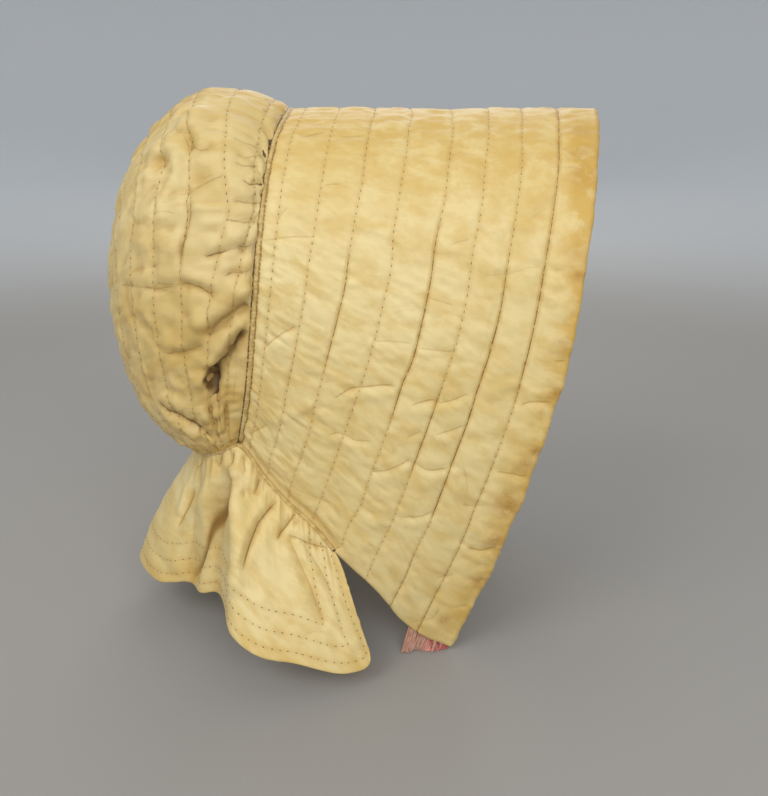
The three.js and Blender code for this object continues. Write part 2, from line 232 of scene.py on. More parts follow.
def roughness(u, v, seed):
    # smooth seeded relief, about -1 to 1, with one bump per unit
    lattice = np.random.default_rng(seed).uniform(-1, 1, (97, 89))
    iu = np.floor(u).astype(int)
    iv = np.floor(v).astype(int)
    fu = smooth(0, 1, u - iu)
    fv = smooth(0, 1, v - iv)
    low = lattice[iu % 97, iv % 89] * (1 - fv) + lattice[iu % 97, (iv + 1) % 89] * fv
    high = lattice[(iu + 1) % 97, iv % 89] * (1 - fv) + lattice[(iu + 1) % 97, (iv + 1) % 89] * fv
    return low * (1 - fu) + high * fu


def crumple(u, v, seed):
    # sharp-edged soft relief, as cloth takes when it has been handled
    bend = roughness(u * 0.6, v * 0.6, seed + 1)
    first = np.abs(roughness(u + bend, v + 0.5 * bend, seed))
    second = np.abs(roughness(u * 1.3 + 7, v * 1.3 - bend + 3, seed + 2))
    return (first - second) * 1.4


def gridNormals(points):
    return unit(np.cross(np.gradient(points, axis=0), np.gradient(points, axis=1)))


def finer(values):
    # twice as many steps both ways, on a smooth curve through the old ones
    for axis in (0, 1):
        values = np.swapaxes(values, 0, axis)
        ahead = np.concatenate([values[1:], 2 * values[-1:] - values[-2:-1]])
        behind = np.concatenate([2 * values[:1] - values[1:2], values[:-1]])
        half = (9 * (values[:-1] + values[1:]) - (behind[:-1] + ahead[1:])) / 16
        out = np.empty((2 * len(values) - 1,) + values.shape[1:])
        out[0::2] = values
        out[1::2] = half
        values = np.swapaxes(out, 0, axis)
    return values


def blurred(values, times):
    for _ in range(times):
        for axis in (0, 1):
            values = np.swapaxes(values, 0, axis)
            wide = np.concatenate([values[:1], values, values[-1:]])
            values = np.swapaxes((wide[:-2] + 2 * wide[1:-1] + wide[2:]) / 4, 0, axis)
    return values


def stepsBetween(lines, counts, crowd):
    # positions between quilting lines, closer together beside each line
    parts = []
    for a, b, n in zip(lines[:-1], lines[1:], counts):
        f = np.arange(n) / n
        parts.append(a + (b - a) * (f - crowd * np.sin(2 * np.pi * f) / (2 * np.pi)))
    return np.concatenate(parts + [lines[-1:]])


def distances(points, axis):
    step = np.linalg.norm(np.diff(points, axis=axis), axis=-1)
    return np.concatenate([np.zeros_like(np.take(step, [0], axis)), np.cumsum(step, axis)], axis)


# creases are painted dark as shade once a fold sinks deep enough
creases = {
    "least": 0.5, "bold": 3, "deepest": 4.5,   # how far a fold sinks before its crease shows dark, mm
    "line": 0.65, "boldLine": 0.36, "deepLine": 0.6,   # half width in mm, then as a share of the fold
    "fullDepth": 2.4, "wide": 2.6, "wideShare": 0.45, "far": 9.0,
}
otherSide = {"share": 0.95, "shift": 0.02, "lift": 0.8}   # the far side isn't an exact mirror


def creaseWidth(depth, width):
    if depth < creases["bold"]:
        return creases["line"]
    return creases["boldLine" if depth < creases["deepest"] else "deepLine"] * width


def foldField(points, normals, folds, place, mirrored):
    # relief, and crease lines painted dark as shade, from a table of folds: path in thousandths, width, lift
    # and lean
    relief = np.zeros(points.shape[:2])
    creaseShade = np.zeros(points.shape[:2])
    creaseSide = np.full(points.shape[:2], creases["far"])
    for path, width, lift, lean in folds:
        path = np.array(path) / 1000
        if mirrored:
            path = path * [1, -otherSide["share"]] + [0, otherSide["shift"]]
            lift = otherSide["lift"] * lift
        t = np.linspace(0, len(path) - 1, 8 * len(path))
        ends = np.arange(len(path))
        u = np.interp(t, ends, path[:, 0])
        v = np.interp(t, ends, path[:, 1])
        line = blurred(place(u, v)[:, None], 6)[:, 0]
        if mirrored:
            line = line[::-1]
        near = 4 * width
        inside = np.all((points > line.min(0) - near) & (points < line.max(0) + near), axis=-1)
        spots = points[inside]
        if len(spots) == 0:
            continue
        k = ((spots[:, None] - line[None]) ** 2).sum(-1).argmin(1)
        tangent = unit(np.gradient(line, axis=0))[k]
        away = spots - line[k]
        ahead = (away * tangent).sum(-1)
        step = np.linalg.norm(np.gradient(line, axis=0), axis=-1)[k]
        offset = np.clip(ahead / step, -0.5, 0.5)
        along = np.clip((k + offset) / (len(line) - 1), 0, 1)
        side = -(np.cross(tangent, normals[inside]) * away).sum(-1)
        distance = np.sqrt(np.maximum(0, (away ** 2).sum(-1) - (offset * step) ** 2))
        reach = np.where(side > 0, width * (1 + lean), width * (1 - lean))
        size = np.linalg.norm(np.diff(line, axis=0), axis=-1).sum()
        taper = min(0.5, max(0.18, 1.2 * width / size))
        fade = smooth(-0.02, taper, along) * smooth(-0.02, taper, 1 - along)
        sharpness = 1.35 if lift < 0 else 2
        relief[inside] += lift * fade * np.exp(-(distance / reach) ** sharpness)
        if -lift > creases["least"]:
            scaled = distance * 0.55 / creaseWidth(-lift, width)
            strength = fade * np.exp(-(scaled / 1.2) ** 2)
            strength = min(1.0, -lift / creases["fullDepth"]) * strength * smooth(0.1, 0.4, strength)
            if width > creases["wide"] and -lift < creases["deepest"]:
                strength = creases["wideShare"] * strength
            nearer = (scaled < np.abs(creaseSide[inside])) & (strength > 0)
            creaseSide[inside] = np.where(nearer, np.where(side < 0, -scaled, scaled), creaseSide[inside])
            creaseShade[inside] = np.where(nearer, strength, creaseShade[inside])
    return relief, creaseShade, creaseSide


def bothSides(points, normals, folds, place):
    near = foldField(points, normals, folds, place, False)
    far = foldField(points, normals, folds, place, True)
    stronger = far[1] > near[1]
    return near[0] + far[0], np.maximum(near[1], far[1]), np.where(stronger, far[2], near[2])


def fromSpot(points, u, v, place):
    return np.linalg.norm(points - place(np.array([u]), np.array([v]))[0], axis=-1)


def spotField(points, spots, place):
    # soft round marks, such as stains, worn places and painted shade: where, how wide in millimetres and how
    # strong
    total = np.zeros(points.shape[:2])
    for u, v, wide, strength in spots:
        total = np.maximum(total, strength * np.exp(-(fromSpot(points, u, v, place) / wide) ** 2))
    return total


def reliefSpots(points, spots, place):
    # round bumps and hollows in the padding, on both sides
    total = np.zeros(points.shape[:2])
    for u, v, wide, lift in spots + [(u, 0.03 - v, wide, 0.8 * lift) for u, v, wide, lift in spots]:
        total += lift * np.exp(-(fromSpot(points, u, v, place) / wide) ** 4)
    return total


def linkMesh(name, points, faces, material):
    mesh = bpy.data.meshes.new(name)
    mesh.from_pydata((np.asarray(points) * mm).tolist(), [], faces)
    mesh.materials.append(material)
    mesh.polygons.foreach_set("use_smooth", [True] * len(mesh.polygons))
    mesh.validate()
    piece = bpy.data.objects.new(name, mesh)
    bpy.context.scene.collection.objects.link(piece)
    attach(piece, "root")
    return piece


def setPointValues(piece, name, values):
    layer = piece.data.attributes.new(name, "FLOAT", "POINT")
    layer.data.foreach_set("value", np.asarray(values, np.float32).ravel())


def setClothPlace(piece, u, v):
    # where each point lies on the flat cloth, in millimetres
    layer = piece.data.attributes.new("clothPlace", "FLOAT_VECTOR", "POINT")
    flat = np.zeros((len(piece.data.vertices), 3), np.float32)
    flat[:, 0] = np.ravel(u)
    flat[:, 1] = np.ravel(v)
    layer.data.foreach_set("vector", flat.ravel())


wadding = {  # Cloth's own settings
    "quality": 6, "mass": 0.3, "tension_stiffness": 20, "compression_stiffness": 20, "shear_stiffness": 8,
    "bending_model": "ANGULAR", "tension_damping": 8, "compression_damping": 8, "shear_damping": 6,
    "bending_damping": 0.5, "air_damping": 2, "pin_stiffness": 1, "use_pressure": True,
}


def puffCloth(name, start, rest, pins, how, closedBack):
    # blows up a pinned grid of cloth with Blender's Cloth, ten times life size
    rows, columns = start.shape[:2]
    scale = 10 * mm
    index = np.arange(rows * columns).reshape(rows, columns)
    if closedBack:
        index[-1] = np.minimum(index[-1], index[-1, ::-1])
    used, number = np.unique(index, return_inverse=True)
    number = number.reshape(rows, columns)
    quads = np.stack([number[:-1, :-1], number[1:, :-1], number[1:, 1:], number[:-1, 1:]], -1)
    mesh = bpy.data.meshes.new(name)
    mesh.from_pydata((start.reshape(-1, 3)[used] * scale).tolist(), [], quads.reshape(-1, 4).tolist())
    cloth = bpy.data.objects.new(name, mesh)
    bpy.context.scene.collection.objects.link(cloth)
    cloth.shape_key_add(name="Basis")
    key = cloth.shape_key_add(name="rest")
    key.data.foreach_set("co", (rest.reshape(-1, 3)[used] * scale).ravel())
    key.value = 0
    group = cloth.vertex_groups.new(name="pins")
    group.add(np.nonzero(pins.ravel()[used])[0].tolist(), 1.0, "REPLACE")
    modifier = cloth.modifiers.new("Cloth", "CLOTH")
    settings = modifier.settings
    for setting, value in wadding.items():
        setattr(settings, setting, value)
    settings.bending_stiffness = how["stiffness"]
    settings.uniform_pressure_force = how["pressure"]
    settings.vertex_group_mass = "pins"
    settings.rest_shape_key = key
    settings.effector_weights.gravity = 0
    modifier.collision_settings.use_collision = False
    modifier.collision_settings.use_self_collision = False
    modifier.point_cache.frame_start = 1
    modifier.point_cache.frame_end = how["frames"]
    scene = bpy.context.scene
    for frameNumber in range(1, how["frames"] + 1):
        scene.frame_set(frameNumber)
    settled = cloth.evaluated_get(bpy.context.evaluated_depsgraph_get()).to_mesh()
    flat = np.empty(len(settled.vertices) * 3)
    settled.vertices.foreach_get("co", flat)
    bpy.data.objects.remove(cloth)
    bpy.data.meshes.remove(mesh)
    scene.frame_set(1)
    return (flat.reshape(-1, 3) / scale)[number.ravel()].reshape(rows, columns, 3)


# Node helpers: each returns an output socket, and takes sockets or plain values
def feed(tree, socket, value):
    if isinstance(value, bpy.types.NodeSocket):
        tree.links.new(value, socket)
    elif isinstance(value, tuple) and len(value) == 3 and socket.type == "RGBA":
        socket.default_value = (*value, 1)
    else:
        socket.default_value = value


def calculate(tree, operation, *values, clamp=False):
    node = tree.nodes.new("ShaderNodeMath")
    node.operation = operation
    node.use_clamp = clamp
    for socket, value in zip(node.inputs, values):
        feed(tree, socket, value)
    return node.outputs[0]


def times(tree, first, second, clamp=False):
    return calculate(tree, "MULTIPLY", first, second, clamp=clamp)


def plus(tree, first, second):
    return calculate(tree, "ADD", first, second)


def minus(tree, first, second):
    return calculate(tree, "SUBTRACT", first, second)


def blendColours(tree, share, first, second):
    node = tree.nodes.new("ShaderNodeMix")
    node.data_type = "RGBA"
    feed(tree, node.inputs["Factor"], share)
    feed(tree, node.inputs[6], first)
    feed(tree, node.inputs[7], second)
    return node.outputs[2]


def pointValue(tree, name):
    node = tree.nodes.new("ShaderNodeAttribute")
    node.attribute_name = name
    return node.outputs["Fac"]


def objectPlaces(tree):
    return tree.nodes.new("ShaderNodeTexCoord").outputs["Object"]


def noiseAt(tree, place, scale, detail, rough=0.55):
    node = tree.nodes.new("ShaderNodeTexNoise")
    tree.links.new(place, node.inputs["Vector"])
    node.inputs["Scale"].default_value = scale
    node.inputs["Detail"].default_value = detail
    node.inputs["Roughness"].default_value = rough
    return node.outputs["Fac"]


def between(tree, value, low, high):
    # 0 below low to 1 above high, softly
    node = tree.nodes.new("ShaderNodeMapRange")
    node.interpolation_type = "SMOOTHSTEP"
    feed(tree, node.inputs["Value"], value)
    node.inputs["From Min"].default_value = low
    node.inputs["From Max"].default_value = high
    return node.outputs["Result"]


weave = {  # noise on the flat cloth: repeats per mm along and across, detail and roughness
    "patches": (0.045, 0.085, 4, 0.6), "cloud": (0.07, 0.12, 3, 0.6), "blotch": (0.25, 0.5, 4, 0.7),
    "streak": (0.06, 1.7, 4, 0.65), "warp": (2.4, 0.12, 2, 0.5), "grain": (3.1, 5.2, 2, 0.6),
    "ragged": (0.6, 0.6, 2, 0.55), "broken": (0.1, 0.35, 2, 0.55), "small": (0.3, 0.36, 3, 0.55),
    "satin": (3.5, 0.15, 3, 0.6), "satinWide": (0.16, 0.07, 2, 0.55),
}


def clothNoise(tree, layer):
    along, across, detail, rough = weave[layer]
    place = tree.nodes.new("ShaderNodeAttribute")
    place.attribute_name = "clothPlace"
    scaled = tree.nodes.new("ShaderNodeVectorMath")
    scaled.operation = "MULTIPLY"
    tree.links.new(place.outputs["Vector"], scaled.inputs[0])
    scaled.inputs[1].default_value = (along, across, 1)
    return noiseAt(tree, scaled.outputs[0], 1.0, detail, rough)


def addBump(tree, shader, height, strength, depth):
    bump = tree.nodes.new("ShaderNodeBump")
    bump.inputs["Strength"].default_value = strength
    bump.inputs["Distance"].default_value = depth * mm
    tree.links.new(height, bump.inputs["Height"])
    tree.links.new(bump.outputs["Normal"], shader.inputs["Normal"])


def newMaterial(name):
    made = bpy.data.materials.new(name)
    made.use_nodes = True
    tree = made.node_tree
    return made, tree, tree.nodes["Principled BSDF"]


def silkMaterial(name, look):
    made, tree, shader = newMaterial(name)
    patches = between(tree, clothNoise(tree, "patches"), 0.42, 0.66)
    wide = between(tree, noiseAt(tree, objectPlaces(tree), 11, 2), 0.38, 0.66)
    streak = clothNoise(tree, "streak")
    grain = clothNoise(tree, "grain")
    colour = blendColours(tree, wide, look["pale"], look["warm"])
    colour = blendColours(tree, times(tree, patches, look["patches"]), colour, look["ochre"])
    # threads of slightly different brightness
    shine = plus(tree, times(tree, streak, 0.10), 0.95)
    tone = plus(tree, times(tree, clothNoise(tree, "warp"), 0.05), shine)
    tone = plus(tree, times(tree, grain, 0.07), tone)
    toned = tree.nodes.new("ShaderNodeVectorMath")
    toned.operation = "SCALE"
    tree.links.new(colour, toned.inputs[0])
    tree.links.new(minus(tree, tone, 0.06), toned.inputs["Scale"])
    colour = toned.outputs[0]
    # golden patches and brown stains, both with painted shade in places, and painted shade in hollows
    cloud = between(tree, clothNoise(tree, "cloud"), 0.36, 0.6)
    cloud = plus(tree, times(tree, cloud, 0.75), 0.4)
    golden = times(tree, pointValue(tree, "golden"), look["golden"])
    colour = blendColours(tree, times(tree, golden, cloud, clamp=True), colour, look["ochre"])
    # painted shade: points lying below their surroundings blend towards the shade colour
    hollowShade = times(tree, between(tree, pointValue(tree, "hollowShade"), 0.0, 1.0), look["hollowShade"])
    colour = blendColours(tree, hollowShade, colour, look["shade"])
    # brown stains; on the crown and curtain the same colour also paints shade
    blotch = between(tree, clothNoise(tree, "blotch"), 0.25, 0.55)
    stainAndShade = times(tree, pointValue(tree, "stainAndShade"), blotch, clamp=True)
    colour = blendColours(tree, stainAndShade, colour, look["stainAndShade"])
    # painted shade: the dark lines of creases and of the quilting
    creaseGap = calculate(tree, "ABSOLUTE", pointValue(tree, "creaseSide"))
    creaseShade = minus(tree, 1.0, between(tree, creaseGap, 0.1, 0.62))
    creaseShade = times(tree, creaseShade, pointValue(tree, "creaseShade"))
    colour = blendColours(tree, times(tree, creaseShade, 0.85), colour, look["line"])
    gap = pointValue(tree, "lineGap")
    ragged = times(tree, clothNoise(tree, "ragged"), 0.5)
    near = minus(tree, 1.0, between(tree, plus(tree, gap, ragged), 0.22, 0.68))
    soft = minus(tree, 1.0, between(tree, gap, 0.2, 2.4))
    broken = between(tree, clothNoise(tree, "broken"), 0.3, 0.5)
    deep = times(tree, between(tree, pointValue(tree, "lineShade"), 0.3, 0.95), broken)
    # painted shade: a soft band beside every quilting line, then the dark line itself
    colour = blendColours(tree, times(tree, soft, 0.16), colour, look["shade"])
    colour = blendColours(tree, times(tree, near, deep), colour, look["line"])
    tree.links.new(colour, shader.inputs["Base Color"])
    rough = plus(tree, times(tree, streak, 0.12), look["roughness"])
    tree.links.new(plus(tree, times(tree, stainAndShade, 0.15), rough), shader.inputs["Roughness"])
    shader.inputs["Specular IOR Level"].default_value = 0.35
    shader.inputs["Sheen Weight"].default_value = 0.12
    shader.inputs["Sheen Roughness"].default_value = 0.4
    shader.inputs["Sheen Tint"].default_value = (1.0, 0.9, 0.65, 1)
    height = times(tree, clothNoise(tree, "small"), 0.5)
    height = plus(tree, times(tree, streak, 0.04), height)
    height = plus(tree, times(tree, grain, 0.05), height)
    addBump(tree, shader, minus(tree, height, times(tree, near, 0.15)), 0.55, 0.6)
    return made


def threadMaterial(name, light, dark, roughness, byPoint=False):
    made, tree, shader = newMaterial(name)
    tone = between(tree, noiseAt(tree, objectPlaces(tree), 300, 3), 0.3, 0.7)
    # by point: the thread is painted darker where its quilting line lies in shade
    if byPoint:
        tone = plus(tree, times(tree, tone, 0.35), times(tree, pointValue(tree, "darkness"), 0.65))
    tree.links.new(blendColours(tree, tone, light, dark), shader.inputs["Base Color"])
    rough = plus(tree, times(tree, tone, 0.15), roughness)
    tree.links.new(rough, shader.inputs["Roughness"])
    shader.inputs["Sheen Weight"].default_value = 0.3
    shader.inputs["Specular IOR Level"].default_value = 0.3
    addBump(tree, shader, noiseAt(tree, objectPlaces(tree), 2600, 2), 0.5, 0.15)
    return made


# pale, warm and ochre are the silk's own tones; shade and line are the colours of painted shade in hollows,
# creases and quilting lines
yellowSilk = silkMaterial("yellowSilk", {
    "pale": (0.735, 0.595, 0.285), "warm": (0.68, 0.52, 0.215), "ochre": (0.58, 0.37, 0.085),
    "shade": (0.48, 0.28, 0.06), "stainAndShade": (0.40, 0.20, 0.04), "line": (0.215, 0.105, 0.01),
    "patches": 0.45, "golden": 0.85, "hollowShade": 0.5, "roughness": 0.42})
crownSilk = silkMaterial("crownSilk", {
    "pale": (0.70, 0.55, 0.255), "warm": (0.62, 0.465, 0.185), "ochre": (0.52, 0.32, 0.07),
    "shade": (0.44, 0.26, 0.06), "stainAndShade": (0.33, 0.18, 0.045), "line": (0.095, 0.045, 0.014),
    "patches": 0.4, "golden": 0.8, "hollowShade": 0.55, "roughness": 0.42})
cordSilk = threadMaterial("cordSilk", (0.62, 0.45, 0.17), (0.42, 0.27, 0.08), 0.5)
brownThread = threadMaterial("brownThread", (0.40, 0.25, 0.07), (0.13, 0.07, 0.02), 0.6, True)


def edgeLoop(first, right, last, left, closedBack):
    # once round a grid; a closed back has no edge of its own
    parts = [first[:-1], right[:-1], last[:0:-1], left[:0:-1]]
    if closedBack:
        del parts[2]
    return np.concatenate(parts)


def loopOf(grid, closedBack):
    return edgeLoop(grid[0], grid[:, -1], grid[-1], grid[:, 0], closedBack)


def wallMesh(name, outer, inner, material, closedBack=False):
    # a closed wall: the outer grid, an inner grid half as fine, and a rounded rim between them
    rows, columns = outer.shape[:2]
    inner = inner[::2, ::2]
    a = np.arange(rows * columns).reshape(rows, columns)
    b = rows * columns + np.arange(inner.shape[0] * inner.shape[1]).reshape(inner.shape[:2])
    if closedBack:
        a[-1] = np.minimum(a[-1], a[-1, ::-1])
        b[-1] = np.minimum(b[-1], b[-1, ::-1])
    loopOuter = loopOf(a, closedBack)
    loopInner = loopOf(b, closedBack)
    faces = np.stack([a[:-1, :-1], a[1:, :-1], a[1:, 1:], a[:-1, 1:]], -1).reshape(-1, 4).tolist()
    faces += np.stack([b[:-1, :-1], b[:-1, 1:], b[1:, 1:], b[1:, :-1]], -1).reshape(-1, 4).tolist()
    points = [outer.reshape(-1, 3), inner.reshape(-1, 3)]
    everything = np.concatenate(points)
    edgeOut = everything[loopOuter]
    edgeIn = everything[loopInner]
    edgeIn = np.stack([edgeIn, (edgeIn + np.roll(edgeIn, -1, 0)) / 2], 1).reshape(-1, 3)
    beyond = edgeLoop(unit(outer[0] - outer[1]), unit(outer[:, -1] - outer[:, -2]),
                      unit(outer[-1] - outer[-2]), unit(outer[:, 0] - outer[:, 1]), closedBack)
    middle = (edgeOut + edgeIn) / 2
    half = (edgeOut - edgeIn) / 2
    bulge = beyond * np.linalg.norm(half, axis=-1, keepdims=True)
    ring = loopOuter
    count = len(everything)
    for angle in (math.pi / 4, math.pi / 2, 3 * math.pi / 4):
        points.append(middle + half * math.cos(angle) + bulge * math.sin(angle) * 0.8)
        newRing = count + np.arange(len(ring))
        faces += np.stack([ring, np.roll(ring, -1), np.roll(newRing, -1), newRing], -1).tolist()
        ring = newRing
        count += len(ring)
    o0 = ring[0::2]
    o1 = ring[1::2]
    o2 = np.roll(ring, -2)[0::2]
    i1 = np.roll(loopInner, -1)
    for corners in ([o0, o1, loopInner], [o1, i1, loopInner], [o1, o2, i1]):
        faces += np.stack(corners, -1).tolist()
    everything = np.concatenate(points)
    used = np.unique(np.concatenate([np.ravel(f) for f in faces]))
    number = np.full(len(everything), -1)
    number[used] = np.arange(len(used))
    faces = [number[list(f)].tolist() for f in faces]
    return linkMesh(name, everything[used], faces, material), used


def wallValues(values, used, closedBack=False, inside=1.0):
    # the same order of points as wallMesh, with the inner wall's share of each value
    rim = loopOf(values, closedBack)
    inner = inside * values[::2, ::2].ravel()
    return np.concatenate([values.ravel(), inner, rim, rim, rim])[used]


insideShare = {"creaseShade": 0.0, "stainAndShade": 0.0, "golden": 0.4}   # marks of the outside that show inside


def dressSilk(piece, used, values, across, along, closedBack=False):
    # what the silk's material reads at each point
    for name, value in values.items():
        setPointValues(piece, name, wallValues(value, used, closedBack, insideShare.get(name, 1)))
    setClothPlace(piece, wallValues(across, used, closedBack), wallValues(along, used, closedBack))


